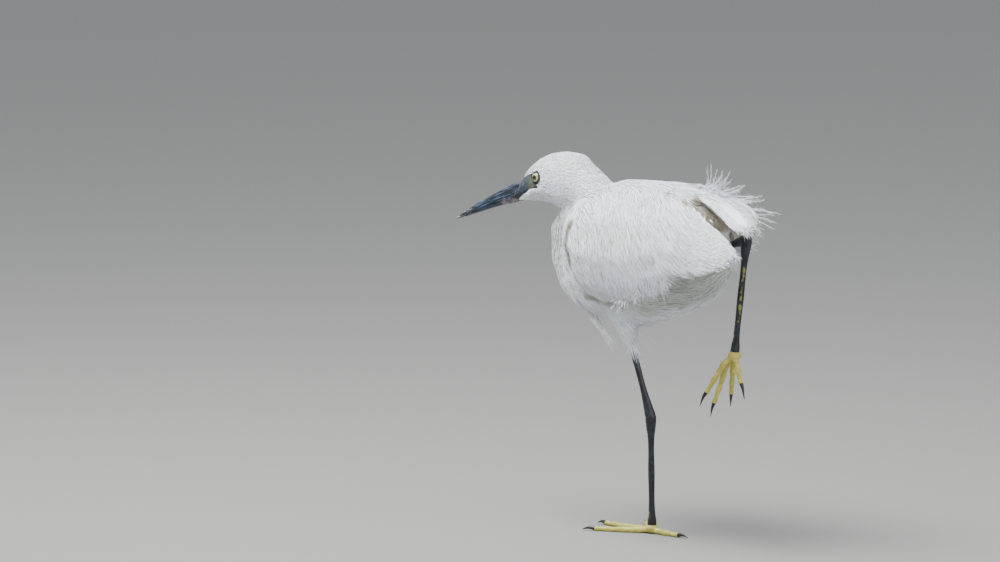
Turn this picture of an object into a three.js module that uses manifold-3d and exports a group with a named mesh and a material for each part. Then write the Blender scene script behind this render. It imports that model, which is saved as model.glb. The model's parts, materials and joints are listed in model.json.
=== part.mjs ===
// A little egret, life size, stalking: it stands on its left foot, the right leg folded back and lifted.
// Millimetres, +Z up. The body faces -Y and +X is the bird's left.
// The origin is on the floor, under the joint of the standing foot's toes.
import * as THREE from "three";
import { mergeVertices } from "three/addons/utils/BufferGeometryUtils.js";
import Module from "manifold-3d";

const wasm = await Module();
wasm.setup();

// Gap that parts neighbouring pieces
const GAP = 0.55;
const BIG = 1000;
// How far a vertex may leave the surface when slivers left by the cuts are cleared
const SIMPLER = 0.16;
// Distance below which points count as one
const SAME = 1e-3;

// Driving sizes of the legs
const TARSUS_RADIUS = 3.1;
const TIBIA_RADIUS = 3.0;
const HEEL_RADIUS = 5.2;
// Height up to which the underside of a standing toe is flattened
const FLAT_HEIGHT = 0.6;
const TOE_RADIUS = 2.7;
const KNUCKLE_SWELL = 0.14;
const PAD_RADIUS = 5.2;
// Distance from the middle of the pad at which a toe begins
const TOE_START = 2;
const PAD_STRETCH = 1.15;
const CLAW_LENGTH = 11;
const CLAW_RADIUS = 1.75;
const CLAW_TIP_RADIUS = 0.35;
// Toes as [name, bearing in degrees from forward to the bird's left, length, joints]
const TOES = [
  ["middle", 2, 62, 4],
  ["inner", -32, 47, 3],
  ["outer", 36, 52, 4],
  ["hind", 186, 33, 2],
];
// How far the toes of a lifted foot hang, as shares of their length at four points along them
const TOE_DROPS = [0, 0.24, 0.6, 0.93];
const HIND_DROPS = [0, 0.32, 0.66, 0.92];
const HANG = 0.78;
const HANG_SPREAD = { aside: 0.62, front: -0.55, hind: 0.42, reach: 0.86 };

// Joints of the legs, in the body's own frame: Y from the breast back, Z from the floor
const LEFT_KNEE = [22, 111, 236];
const LEFT_HEEL = [12, 156, 104];
const LEFT_FOOT = [5, 149, 4.6];
const RIGHT_KNEE = [-32, 116, 226];
const RIGHT_HEEL = [-18, 251.5, 268];
const RIGHT_FOOT = [-13, 241, 166];
// Share of the shin, from knee to heel, that is feathered
const FEATHERED_SHARE = 0.57;

// The head and upper neck turn to the bird's left about a pivot on the midline
const HEAD_TURN = THREE.MathUtils.degToRad(19);
const HEAD_PIVOT = new THREE.Vector3(0, 68, 0);
const HEAD_FORWARD = new THREE.Vector3(Math.sin(HEAD_TURN), -Math.cos(HEAD_TURN), 0);
const HEAD_LEFT = new THREE.Vector3(Math.cos(HEAD_TURN), Math.sin(HEAD_TURN), 0);

// Bill: forward distances from the pivot and heights
const GAPE = { forward: 62.5, height: 291.5 };
const BILL_ROOT = { forward: 70, height: 291 };
const BILL_TIP = { forward: 148.6, height: 257.7 };

// Eyes
const EYE_RADIUS = 5.6;
const EYE = { forward: 56.6, height: 301.7, side: 10.6 };

const finish = (name, color, roughness) =>
  Object.assign(new THREE.MeshStandardMaterial({ color, roughness, metalness: 0 }), { name });
const plumage = finish("plumage", 0xf1f3f5, 0.8);
const shaded = finish("under_plumage", 0xd8d3c6, 0.85);
const billHorn = finish("bill", 0x1f2731, 0.4);
const eyeGloss = finish("eye", 0xd9cf6a, 0.12);
const legSkin = finish("leg_skin", 0x15181c, 0.45);
const footSkin = finish("foot_skin", 0xb5a83a, 0.6);
const clawHorn = finish("claw", 0x17130f, 0.4);

const SIDEWAYS = new THREE.Vector3(1, 0, 0);
const BACKWARD = new THREE.Vector3(0, 1, 0);
const UP = new THREE.Vector3(0, 0, 1);
const vec = (p) => new THREE.Vector3(...p);
const mix = THREE.MathUtils.lerp;

// A smooth function through [place, value] stations.
function through(stations) {
  const places = stations.map((s) => s[0]);
  const values = stations.map((s) => s[1]);
  const cubic = new THREE.CubicInterpolant(places, values, 1);
  return (place) => cubic.evaluate(THREE.MathUtils.clamp(place, places[0], places.at(-1)))[0];
}

// Columns of a table of stations as smooth functions of its first column.
function columns(names, rows) {
  const made = names.slice(1).map((name, i) => [name, through(rows.map((r) => [r[0], r[i + 1]]))]);
  return { start: rows[0][0], end: rows.at(-1)[0], ...Object.fromEntries(made) };
}

// How full a ring is near a rounded end: 0 at the end, 1 from the share `round` on.
const roundedEnd = (share, round) =>
  share >= round ? 1 : Math.sqrt(Math.max(0, 1 - (1 - share / round) ** 2));

// Turns the faces of a closed geometry outwards.
function facingOut(geometry) {
  const p = geometry.getAttribute("position");
  const index = geometry.getIndex();
  const [a, b, c] = [new THREE.Vector3(), new THREE.Vector3(), new THREE.Vector3()];
  let volume = 0;
  for (let i = 0; i < index.count; i += 3) {
    a.fromBufferAttribute(p, index.getX(i));
    b.fromBufferAttribute(p, index.getX(i + 1));
    c.fromBufferAttribute(p, index.getX(i + 2));
    volume += a.dot(b.clone().cross(c));
  }
  for (let i = 0; volume < 0 && i < index.count; i += 3) {
    const held = index.getX(i + 1);
    index.setX(i + 1, index.getX(i + 2));
    index.setX(i + 2, held);
  }
  return geometry;
}

// A closed geometry as a solid that can be joined and cut.
function solidOf(geometry) {
  const bare = geometry.clone();
  bare.deleteAttribute("normal");
  bare.deleteAttribute("uv");
  const merged = facingOut(mergeVertices(bare, SAME));
  return new wasm.Manifold(
    new wasm.Mesh({
      numProp: 3,
      vertProperties: new Float32Array(merged.getAttribute("position").array),
      triVerts: new Uint32Array(merged.getIndex().array),
    }),
  );
}

// A sphere whose rings are laid along a body: ring(share, angle) places each vertex.
function warpedSphere(around, along, ring) {
  const sphere = new THREE.SphereGeometry(1, around, along);
  const p = sphere.getAttribute("position");
  const v = new THREE.Vector3();
  for (let i = 0; i < p.count; i += 1) {
    v.fromBufferAttribute(p, i);
    const share = (1 - THREE.MathUtils.clamp(v.y, -1, 1)) / 2;
    const flat = Math.hypot(v.x, v.z) < SAME;
    const placed = ring(share, flat ? 0 : Math.atan2(v.z, v.x));
    p.setXYZ(i, placed.x, placed.y, placed.z);
  }
  return solidOf(sphere);
}

// A rounded body along a straight line, from a table of its heights and half widths.
// `at(place)` gives the point of the line, `side` its left, and grow thickens it all round.
function body({ table, at, side, around, along, round, square = 0.92, grow = 0 }) {
  return warpedSphere(around, along, (share, angle) => {
    const place = mix(table.start - grow, table.end + grow, share);
    const full = roundedEnd(share, round[0]) * roundedEnd(1 - share, round[1]);
    const middle = (table.top(place) + table.bottom(place)) / 2;
    const half = (table.top(place) - table.bottom(place)) / 2 + grow;
    const across = Math.sign(Math.cos(angle)) * Math.abs(Math.cos(angle)) ** square;
    const up = Math.sign(Math.sin(angle)) * Math.abs(Math.sin(angle)) ** square;
    return at(place)
      .clone()
      .addScaledVector(side, across * (table.width(place) + grow) * full)
      .add(new THREE.Vector3(0, 0, middle + up * half * full));
  });
}

// A round limb along a smooth curve. radius(share) may also be [across, in the curve's plane].
function limb({ points, radius, side = SIDEWAYS, around, along, round, grow = 0 }) {
  const curve = new THREE.CatmullRomCurve3(points.map(vec));
  return warpedSphere(around, along, (share, angle) => {
    const tangent = curve.getTangentAt(share);
    const lift = new THREE.Vector3().crossVectors(tangent, side).normalize();
    const across = new THREE.Vector3().crossVectors(lift, tangent).normalize();
    const full = roundedEnd(share, round[0]) * roundedEnd(1 - share, round[1]);
    const [wide, deep] = [radius(share)].flat(1).concat(radius(share)).slice(0, 2);
    return curve
      .getPointAt(share)
      .addScaledVector(tangent, (2 * share - 1) * grow)
      .addScaledVector(across, Math.cos(angle) * (wide + grow) * full)
      .addScaledVector(lift, Math.sin(angle) * (deep + grow) * full);
  });
}

// A cambered blade such as a folded wing: its table has the upper and the lower edge,
// the bulge between them and half the thickness.
function blade({ table, outward, around, along, round, grow = 0 }) {
  return warpedSphere(around, along, (share, angle) => {
    const place = mix(table.start - grow, table.end + grow, share);
    const full = roundedEnd(share, round[0]) * roundedEnd(1 - share, round[1]);
    const upper = new THREE.Vector2(table.topX(place), table.topZ(place));
    const lower = new THREE.Vector2(table.lowX(place), table.lowZ(place));
    const chord = upper.clone().sub(lower);
    const normal = new THREE.Vector2(chord.y, -chord.x).normalize();
    if (normal.x * outward < 0) normal.negate();
    const middle = upper.clone().add(lower).multiplyScalar(0.5);
    const chordWay = chord.clone().normalize();
    const half = (chord.length() / 2 + grow) * full;
    const across = Math.cos(angle);
    const bulge = table.bulge(place) * (1 - across * across) * full;
    const thick = Math.sin(angle) * (table.half(place) + grow) * full;
    middle.addScaledVector(chordWay, across * half).addScaledVector(normal, bulge + thick);
    return new THREE.Vector3(middle.x, place, middle.y);
  });
}

const union = (solids) => solids.reduce((made, s) => made.add(s));
const cutBy = (solid, cutters) => cutters.reduce((made, c) => made.subtract(c), solid);
// Copies of a solid moved by the gap each way, joined: it clears the solid all round.
const SHIFTS = [[0, 0, 0], [1, 0, 0], [-1, 0, 0], [0, 1, 0], [0, -1, 0], [0, 0, 1], [0, 0, -1]];
const swollen = (solid) => union(SHIFTS.map((way) => solid.translate(way.map((v) => v * GAP))));
const largest = (solid) => solid.decompose().sort((a, b) => b.volume() - a.volume())[0];

// A big box on one side of a plane, for flat cuts.
function beyond(point, normal) {
  const box = new THREE.BoxGeometry(BIG, BIG, BIG).translate(0, 0, BIG / 2);
  const turn = new THREE.Quaternion().setFromUnitVectors(UP, normal.clone().normalize());
  return solidOf(box.applyQuaternion(turn).translate(point.x, point.y, point.z));
}

// The piece of a solid between two planes that face the same way, less half a gap at each.
function between(solid, direction, from, to) {
  const low = from.clone().addScaledVector(direction, GAP / 2);
  const high = to.clone().addScaledVector(direction, -GAP / 2);
  return cutBy(solid, [beyond(low, direction.clone().negate()), beyond(high, direction)]);
}

const headPoint = (forward, height, left = 0) =>
  HEAD_PIVOT.clone()
    .addScaledVector(HEAD_FORWARD, forward)
    .addScaledVector(HEAD_LEFT, left)
    .setZ(height);

// Trunk, from the breast to the vent; the breast is parted from it at BREAST_END
const BREAST_END = 86;
const TRUNK = columns(
  ["place", "top", "bottom", "width"],
  [
    [26, 236, 212, 14],
    [45, 278, 197, 29],
    [70, 296, 184, 37],
    [100, 306.5, 178.5, 42],
    [135, 310, 180, 43.5],
    [170, 311, 189, 40],
    [205, 305, 203, 28],
    [222, 292, 211, 21],
    [236, 274, 222, 15],
    [246, 259, 234, 9],
    [252, 251, 243, 4],
  ],
);
const trunkLoft = (grow = 0) =>
  body({
    table: TRUNK,
    at: (y) => new THREE.Vector3(0, y, 0),
    side: SIDEWAYS,
    around: 16,
    along: 12,
    round: [0.14, 0.06],
    grow,
  });

// Rump and under-tail coverts, a wedge below the root of the tail
const RUMP = columns(
  ["place", "top", "bottom", "width"],
  [
    [186, 309, 268, 22],
    [205, 307.5, 262, 19],
    [225, 302.5, 262, 15],
    [240, 296.5, 270, 11],
    [252, 290, 279, 6],
  ],
);
const rumpLoft = (grow = 0) =>
  body({
    table: RUMP,
    at: (y) => new THREE.Vector3(0, y, 0),
    side: SIDEWAYS,
    around: 14,
    along: 8,
    round: [0.06, 0.2],
    grow,
  });

// Neck, folded in its S: the lower loop hangs in front of the breast, the upper one lies behind the head
const lowerNeck = (grow = 0) =>
  limb({
    points: [
      [1, 92, 284],
      [3, 62, 277],
      [3, 38, 266],
      [1, 30, 245],
      [0, 37, 222],
      [0, 56, 206],
      [0, 88, 200],
    ],
    radius: through([
      [0, 14],
      [0.25, 18],
      [0.5, 20],
      [0.75, 21.5],
      [1, 21],
    ]),
    around: 14,
    along: 11,
    round: [0.12, 0.12],
    grow,
  });
const UPPER_NECK = columns(
  ["place", "top", "bottom", "width"],
  [
    [-52, 303, 258, 30],
    [-30, 302, 258, 31],
    [-12, 299, 262, 27],
    [0, 305, 265, 22],
    [12, 319, 270, 19],
    [24, 324, 273, 18.5],
    [36, 322, 276, 17],
  ],
);
const upperNeck = (grow = 0) =>
  body({
    table: UPPER_NECK,
    at: (t) => headPoint(t, 0),
    side: HEAD_LEFT,
    around: 14,
    along: 8,
    round: [0.2, 0.1],
    grow,
  });

// Head, from the nape to the feathers at the bill's root
const HEAD = columns(
  ["place", "top", "bottom", "width"],
  [
    [4, 312, 292, 10],
    [14, 322.5, 276, 17],
    [26, 325, 273.5, 19],
    [38, 325, 274.5, 19],
    [48, 323, 278, 17.5],
    [57, 319, 279.5, 15.5],
    [65, 313.5, 279, 13],
    [72, 307, 278, 10.5],
    [79, 298, 277, 8.4],
    [85, 293, 276.4, 6.8],
    [91, 289.5, 276.5, 5],
  ],
);
const headLoft = (grow = 0) =>
  body({
    table: HEAD,
    at: (t) => headPoint(t, 0),
    side: HEAD_LEFT,
    around: 14,
    along: 12,
    round: [0.12, 0.06],
    grow,
  });

// Bill: one dagger, parted along the line of the mouth
const BILL = columns(
  ["place", "top", "bottom", "width"],
  [
    [68, 299.5, 279.5, 6.6],
    [77, 299, 277.5, 6.6],
    [90, 292.3, 275.2, 5.9],
    [105, 284.4, 271.2, 4.8],
    [125, 273.6, 264.6, 3.4],
    [137, 266.4, 260.4, 2.3],
    [148.6, 258.4, 257.2, 0.7],
  ],
);
const billLoft = (grow = 0) =>
  body({
    table: BILL,
    at: (t) => headPoint(t, 0),
    side: HEAD_LEFT,
    around: 10,
    along: 8,
    round: [0.03, 0.05],
    square: 1,
    grow,
  });

const eyeBall = (left, grow = 0) => {
  const at = headPoint(EYE.forward, EYE.height, left * EYE.side);
  return solidOf(new THREE.SphereGeometry(EYE_RADIUS + grow, 12, 8).translate(at.x, at.y, at.z));
};

// Wings: rows of place, upper edge x and z, lower edge x and z, bulge, half thickness.
// The left one droops clear of the tail, the right one lies folded over it.
const WING_COLUMNS = ["place", "topX", "topZ", "lowX", "lowZ", "bulge", "half"];
const LEFT_WING = columns(WING_COLUMNS, [
  [64, 33, 276, 37, 252, 4, 3],
  [78, 27, 293, 39, 226, 12, 6],
  [98, 19, 303, 38, 209, 17, 7],
  [130, 15, 308, 40, 204.5, 19, 7],
  [160, 15, 310, 42, 207, 18, 6],
  [188, 17, 310, 44, 214, 15, 5],
  [208, 19, 306, 45, 230, 11, 4],
  [228, 22, 299, 45, 237, 8, 3],
  [250, 24, 290.5, 42, 238.5, 5.5, 2.2],
  [270, 25, 281.5, 37.5, 242.5, 3.5, 1.6],
  [286, 25.5, 272.5, 31.5, 252, 1.5, 1.1],
  [295, 26, 266, 27.5, 259, 0.5, 0.9],
]);
const RIGHT_WING = columns(WING_COLUMNS, [
  [52, -31, 276, -35, 254, 4, 3],
  [66, -26, 291, -39, 230, 11, 6],
  [86, -19, 300, -39, 215, 16, 7],
  [120, -15, 307, -41, 211, 18, 7],
  [150, -15, 310, -43, 215, 16, 6],
  [180, -17, 310.5, -42, 226, 12, 5],
  [205, -20, 307.5, -39, 241, 8, 3.8],
  [225, -24, 302.5, -36, 255, 5, 2.8],
  [245, -25.5, 297, -31, 268, 2.5, 1.8],
  [262, -21.5, 290.5, -23.5, 282, 0.5, 1],
]);
const wingLoft = (table, outward) => blade({ table, outward, around: 10, along: 12, round: [0.06, 0.04] });

// Tail: feathers side by side, arched down and swung a little to the left at the tip
const TAIL_FEATHERS = 7;
const TAIL_ROOT = [0, 212, 307];
const TAIL_SPREAD = 5.6;
const TAIL_SWING = 7;
const TAIL_LENGTH = 79;
// How far the tail's tip has sunk under its root
const TAIL_DROP = 24;
const TAIL_BELOW_ROOT = 1.4;
// How much shorter and lower the outer feathers are, by the square of their place from the middle
const TAIL_ROUNDING = 0.9;
const TAIL_SLANT = 1.5;
const TAIL_CAMBER = 0.25;
const tailFeather = (n, grow = 0) => {
  const offset = n - (TAIL_FEATHERS - 1) / 2;
  const reach = TAIL_LENGTH - TAIL_ROUNDING * offset * offset + TAIL_SLANT * offset;
  const out = offset * TAIL_SPREAD;
  const camber = TAIL_CAMBER * offset * offset;
  const at = (share, x) => [
    x + TAIL_SWING * share,
    TAIL_ROOT[1] + share * reach,
    TAIL_ROOT[2] - camber * share - TAIL_DROP * share ** 2.1 - TAIL_BELOW_ROOT,
  ];
  return limb({
    points: [at(0, out * 0.35), at(0.35, out * 0.62), at(0.7, out * 0.72), at(1, out * 0.66)],
    radius: (share) => [mix(5, 7.2, Math.min(1, share * 2)), mix(3.2, 1.1, share)],
    around: 6,
    along: 6,
    round: [0.1, 0.14],
    grow,
  });
};
const tail = (grow = 0) =>
  union(Array.from({ length: TAIL_FEATHERS }, (_, n) => tailFeather(n, grow)));

// Legs
const shin = (knee, heel, share) => vec(knee).lerp(vec(heel), share);
const thigh = (knee, heel, widths, grow = 0) => {
  const end = shin(knee, heel, FEATHERED_SHARE);
  const start = shin(knee, heel, -0.12);
  return limb({
    points: [start.toArray(), shin(knee, heel, 0.25).toArray(), end.toArray()],
    radius: through(widths),
    around: 12,
    along: 9,
    round: [0.25, 0.03],
    grow,
  });
};
const THIGH_WIDTHS = [
  [0, 26],
  [0.2, 27],
  [0.42, 22],
  [0.62, 14.5],
  [0.8, 8.8],
  [1, 4.6],
];
const FAR_THIGH_WIDTHS = [
  [0, 22],
  [0.3, 21],
  [0.6, 14],
  [0.85, 8],
  [1, 4.6],
];

// Bare shin and shank: straight rods that swell at the heel, parted by a thin cut there
const bareShin = (knee, heel, grow = 0) => {
  const from = shin(knee, heel, FEATHERED_SHARE - 0.06);
  const to = shin(knee, heel, 1);
  return limb({
    points: [from.toArray(), from.clone().lerp(to, 0.5).toArray(), to.toArray()],
    radius: through([
      [0, TIBIA_RADIUS],
      [0.7, TIBIA_RADIUS],
      [0.88, HEEL_RADIUS * 0.9],
      [1, HEEL_RADIUS],
    ]),
    around: 8,
    along: 8,
    round: [0.01, 0.07],
    grow,
  });
};
const shank = (heel, foot) =>
  limb({
    points: [heel, vec(heel).lerp(vec(foot), 0.5).toArray(), foot],
    radius: through([
      [0, HEEL_RADIUS],
      [0.08, HEEL_RADIUS * 0.92],
      [0.2, TARSUS_RADIUS],
      [0.88, TARSUS_RADIUS],
      [0.96, 4.3],
      [1, 4.4],
    ]),
    around: 8,
    along: 12,
    round: [0.04, 0.03],
  });

// Points of a toe from its root: flat on the floor, or hanging and slightly curled in a lifted foot.
function toePoints(foot, side, bearing, length, lifted) {
  const angle = THREE.MathUtils.degToRad(bearing * side);
  const hind = Math.abs(bearing) > 90;
  const away = new THREE.Vector3(Math.sin(angle), -Math.cos(angle), 0);
  if (!lifted) {
    const level = TOE_RADIUS - FLAT_HEIGHT;
    return [0, 0.35, 0.7, 1].map((share) =>
      vec(foot)
        .setZ(mix(foot[2] - 0.8, level, Math.min(1, share * 2.2)))
        .addScaledVector(away, share * length),
    );
  }
  const drops = hind ? HIND_DROPS : TOE_DROPS;
  const spread = vec([away.x * HANG_SPREAD.aside, hind ? HANG_SPREAD.hind : HANG_SPREAD.front, 0]);
  return drops.map((drop, i) => {
    const share = i / (drops.length - 1);
    return vec(foot)
      .addScaledVector(spread, share ** 0.85 * length * HANG_SPREAD.reach)
      .addScaledVector(UP, -drop * length * HANG);
  });
}

function toe(points, joints, grow = 0) {
  const bumps = (share) => KNUCKLE_SWELL * Math.cos(share * joints * 2 * Math.PI);
  return limb({
    points: points.map((p) => p.toArray()),
    radius: (share) => TOE_RADIUS * (mix(1.12, 0.78, share) + bumps(share)),
    side: UP,
    around: 6,
    along: 2 * joints + 2,
    round: [0.05, 0.03],
    grow,
  });
}

function claw(points, lifted) {
  const end = points.at(-1);
  const way = end.clone().sub(points.at(-2)).normalize();
  const down = lifted ? 0.25 : 0.1;
  const at = (share, dip) =>
    end
      .clone()
      .addScaledVector(way, GAP + share * CLAW_LENGTH)
      .addScaledVector(UP, dip)
      .toArray();
  return limb({
    points: [at(0, 0), at(0.5, 0.5), at(1, -CLAW_LENGTH * down)],
    radius: (share) => mix(CLAW_RADIUS, CLAW_TIP_RADIUS, share),
    side: UP,
    around: 5,
    along: 4,
    round: [0.05, 0.05],
  });
}

// Long loose plumes: thin strands that leave one root piece, each [reach, lift, side] from the root's end
const PLUME_ROOT_HALF = 1.6;
const PLUME_RADIUS = 0.9;
const PLUME_TIP_RADIUS = 0.45;
function plumes({ root, width, strands, bend }) {
  const stem = limb({
    points: root,
    radius: () => [width, PLUME_ROOT_HALF],
    around: 8,
    along: 5,
    round: [0.3, 0.2],
  });
  const start = vec(root.at(-2));
  const made = strands.map(([dx, dy, dz]) => {
    const end = start.clone().add(vec([dx, dy, dz]));
    const sag = vec([dx * 0.12, 0, -bend * end.distanceTo(start)]);
    const middle = start.clone().lerp(end, 0.5).add(sag);
    return limb({
      points: [start.toArray(), middle.toArray(), end.toArray()],
      radius: (share) => mix(PLUME_RADIUS, PLUME_TIP_RADIUS, share),
      around: 4,
      along: 4,
      round: [0.05, 0.05],
    });
  });
  return union([stem, ...made]);
}

const root = new THREE.Group();
root.name = "little_egret";
root.position.set(-LEFT_FOOT[0], -LEFT_FOOT[1], 0);

// Adds a solid to the group as a named mesh.
function place(name, solid, material) {
  const made = largest(largest(solid).simplify(SIMPLER)).getMesh();
  const geometry = new THREE.BufferGeometry()
    .setAttribute("position", new THREE.BufferAttribute(new Float32Array(made.vertProperties), 3))
    .setIndex(new THREE.BufferAttribute(new Uint32Array(made.triVerts), 1));
  geometry.computeVertexNormals();
  const mesh = new THREE.Mesh(geometry, material);
  mesh.name = name;
  root.add(mesh);
}

const floor = beyond(vec([0, 0, 0]), UP.clone().negate());
const leftWing = wingLoft(LEFT_WING, 1);
const rightWing = wingLoft(RIGHT_WING, -1);
const wingsGrown = [swollen(leftWing), swollen(rightWing)];
const thighs = {
  left: (grow) => thigh(LEFT_KNEE, LEFT_HEEL, THIGH_WIDTHS, grow),
  right: (grow) => thigh(RIGHT_KNEE, RIGHT_HEEL, FAR_THIGH_WIDTHS, grow),
};

// Bill and eyes, then the head around them
const mouthSlope = (BILL_TIP.height - GAPE.height) / (BILL_TIP.forward - GAPE.forward);
const mouthUp = HEAD_FORWARD.clone().multiplyScalar(-mouthSlope).setZ(1).normalize();
const mouth = headPoint(GAPE.forward, GAPE.height);
const billFront = between(
  billLoft(),
  HEAD_FORWARD,
  headPoint(BILL_ROOT.forward, BILL_ROOT.height),
  headPoint(BIG, 0),
);
const [overMouth, underMouth] = [BIG, -BIG].map((far) => mouth.clone().addScaledVector(mouthUp, far));
place("bill_upper", between(billFront, mouthUp, mouth, overMouth), billHorn);
place("bill_lower", between(billFront, mouthUp, underMouth, mouth), billHorn);
place("eye_left", eyeBall(1), eyeGloss);
place("eye_right", eyeBall(-1), eyeGloss);
place("head", cutBy(headLoft(), [billLoft(GAP), eyeBall(1, GAP), eyeBall(-1, GAP)]), plumage);

// Neck
const neckUpper = cutBy(upperNeck(), [headLoft(GAP), ...wingsGrown]);
const neckLower = cutBy(lowerNeck(), [headLoft(GAP), upperNeck(GAP), ...wingsGrown]);
place("neck_upper", neckUpper, plumage);
place("neck_lower", neckLower, plumage);

// Trunk, parted from the breast, with the rump and the tail behind it
const trunk = cutBy(trunkLoft(), [
  upperNeck(GAP),
  lowerNeck(GAP),
  rumpLoft(GAP),
  ...wingsGrown,
  thighs.left(GAP),
  thighs.right(GAP),
  bareShin(RIGHT_KNEE, RIGHT_HEEL, GAP),
]);
place("breast", between(trunk, BACKWARD, vec([0, -BIG, 0]), vec([0, BREAST_END, 0])), plumage);
place("trunk", between(trunk, BACKWARD, vec([0, BREAST_END, 0]), vec([0, BIG, 0])), plumage);
place("rump", cutBy(rumpLoft(), [thighs.right(GAP), ...wingsGrown]), shaded);
place("tail", cutBy(tail(), [trunkLoft(GAP), rumpLoft(GAP), ...wingsGrown]), plumage);

// Wings, each parted into its shoulder and coverts, its inner and its outer flight feathers
const WING_CUTS = [
  ["coverts", -BIG, 0],
  ["secondaries", 0, 62],
  ["primaries", 62, BIG],
];
const WING_CUT_WAY = new THREE.Vector3(0, 0.93, -0.37).normalize();
const wingSides = [
  ["left", leftWing, vec([0, 176, 250])],
  ["right", rightWing, vec([0, 158, 250])],
];
wingSides.forEach(([side, solid, from]) => {
  const along = (distance) => from.clone().addScaledVector(WING_CUT_WAY, distance);
  WING_CUTS.forEach(([part, low, high]) =>
    place(`wing_${side}_${part}`, between(solid, WING_CUT_WAY, along(low), along(high)), plumage),
  );
});

// Legs, one standing and one lifted
const legs = [
  { side: "left", knee: LEFT_KNEE, heel: LEFT_HEEL, foot: LEFT_FOOT, turn: 1, lifted: false },
  { side: "right", knee: RIGHT_KNEE, heel: RIGHT_HEEL, foot: RIGHT_FOOT, turn: -1, lifted: true },
];
legs.forEach(({ side, knee, heel, foot, turn, lifted }) => {
  const shinWay = vec(heel).sub(vec(knee)).normalize();
  const feathersEnd = shin(knee, heel, FEATHERED_SHARE);
  const shankWay = vec(foot).sub(vec(heel)).normalize();
  const bend = shankWay.clone().add(shinWay).normalize();
  const above = vec(knee).addScaledVector(shinWay, -BIG);
  const below = vec(heel).addScaledVector(shinWay, BIG);
  const cover = between(thighs[side](0), shinWay, above, feathersEnd);
  const shinSolid = between(bareShin(knee, heel), shinWay, feathersEnd, below);
  const shankSolid = shank(heel, foot);
  const onShin = beyond(vec(heel).addScaledVector(bend, -GAP / 2), bend);
  const onShank = beyond(vec(heel).addScaledVector(bend, GAP / 2), bend.clone().negate());
  const toeRows = TOES.map(([name, bearing, length, joints]) => {
    const points = toePoints(foot, turn, bearing, length, lifted);
    const [solid, grown] = [0, GAP].map((grow) => toe(points, joints, grow));
    return { name, points, solid, grown, nail: claw(points, lifted) };
  });
  const padOf = (grow) =>
    solidOf(
      new THREE.SphereGeometry(PAD_RADIUS + grow, 10, 6)
        .scale(PAD_STRETCH, PAD_STRETCH, 1)
        .translate(...foot),
    );
  const padGrown = padOf(GAP);
  place(`thigh_${side}`, cutBy(cover, wingsGrown), plumage);
  place(`shin_${side}`, cutBy(shinSolid, [onShin]), legSkin);
  place(`shank_${side}`, cutBy(shankSolid, [onShank, padGrown]), legSkin);
  place(`foot_${side}`, cutBy(padOf(0), [floor]), footSkin);
  toeRows.forEach(({ name, points, solid, nail }, row) => {
    const start = points[0];
    const way = points[1].clone().sub(start).normalize();
    const [from, to] = [TOE_START, BIG].map((reach) => start.clone().addScaledVector(way, reach));
    const clear = between(solid, way, from, to);
    const end = points.at(-1);
    const last = end.clone().sub(points.at(-2)).normalize();
    const onClaw = beyond(end.clone().addScaledVector(last, -GAP), last);
    const earlier = toeRows.slice(0, row).map((r) => r.grown);
    place(`toe_${side}_${name}`, cutBy(clear, [floor, padGrown, onClaw, ...earlier]), footSkin);
    place(`claw_${side}_${name}`, cutBy(nail, [floor]), clawHorn);
  });
});

// Loose plumes of the back, upturned past the tail, and of the breast: the line of the root,
// its half width, and the strands
const BACK_PLUMES = [
  {
    name: "plumes_front",
    root: [
      [-3, 205, 315.5],
      [-2, 214, 315],
      [-1, 224, 313.5],
    ],
    width: 3,
    strands: [
      [2, 3, 19],
      [-2, 9, 15],
      [-4, 15, 9],
      [3, 18, 14],
    ],
  },
  {
    name: "plumes_middle",
    root: [
      [4, 224, 313],
      [5, 240, 310],
      [5, 254, 306],
    ],
    width: 3.4,
    strands: [
      [-2, 17, 17],
      [4, 30, 13],
      [-5, 36, 8],
      [2, 42, 15],
    ],
  },
  {
    name: "plumes_rear",
    root: [
      [-5, 248, 307.5],
      [-5, 262, 303],
      [-4, 274, 297],
    ],
    width: 3.2,
    strands: [
      [2, 24, 21],
      [-3, 34, 17],
      [3, 42, 7],
      [-5, 44, 0],
      [0, 34, -8],
    ],
  },
];
const BREAST_PLUMES = {
  root: [
    [8, 62, 188],
    [8, 76, 181],
    [9, 88, 175],
  ],
  width: 3.4,
  strands: [
    [0, 16, -16],
    [2, 22, -23],
    [-1, 27, -22],
    [3, 30, -17],
  ],
  bend: 0.02,
};
const underBack = [tail(GAP), trunkLoft(GAP), ...wingsGrown];
BACK_PLUMES.forEach(({ name, ...shape }) =>
  place(name, cutBy(plumes({ ...shape, bend: 0.13 }), underBack), plumage),
);
const aroundBreast = [trunkLoft(GAP), lowerNeck(GAP), thighs.left(GAP)];
place("plumes_breast", cutBy(plumes(BREAST_PLUMES), aroundBreast), plumage);

export default root;
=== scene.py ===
"""The looks of a little egret: a skin fused from the flesh of its frame, a coat of feathers that lie
along it, quills, loose plumes, bill, eyes and legs. Sizes are in millimetres in the body's own frame:
X to the bird's left, Y from the breast back, Z up from the floor."""

import json
import logging
import math
from collections.abc import Callable, Sequence
from dataclasses import dataclass, field
from enum import Enum

import bmesh
import bpy
import numpy as np
from mathutils import Matrix, Vector
from mathutils.bvhtree import BVHTree

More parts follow.
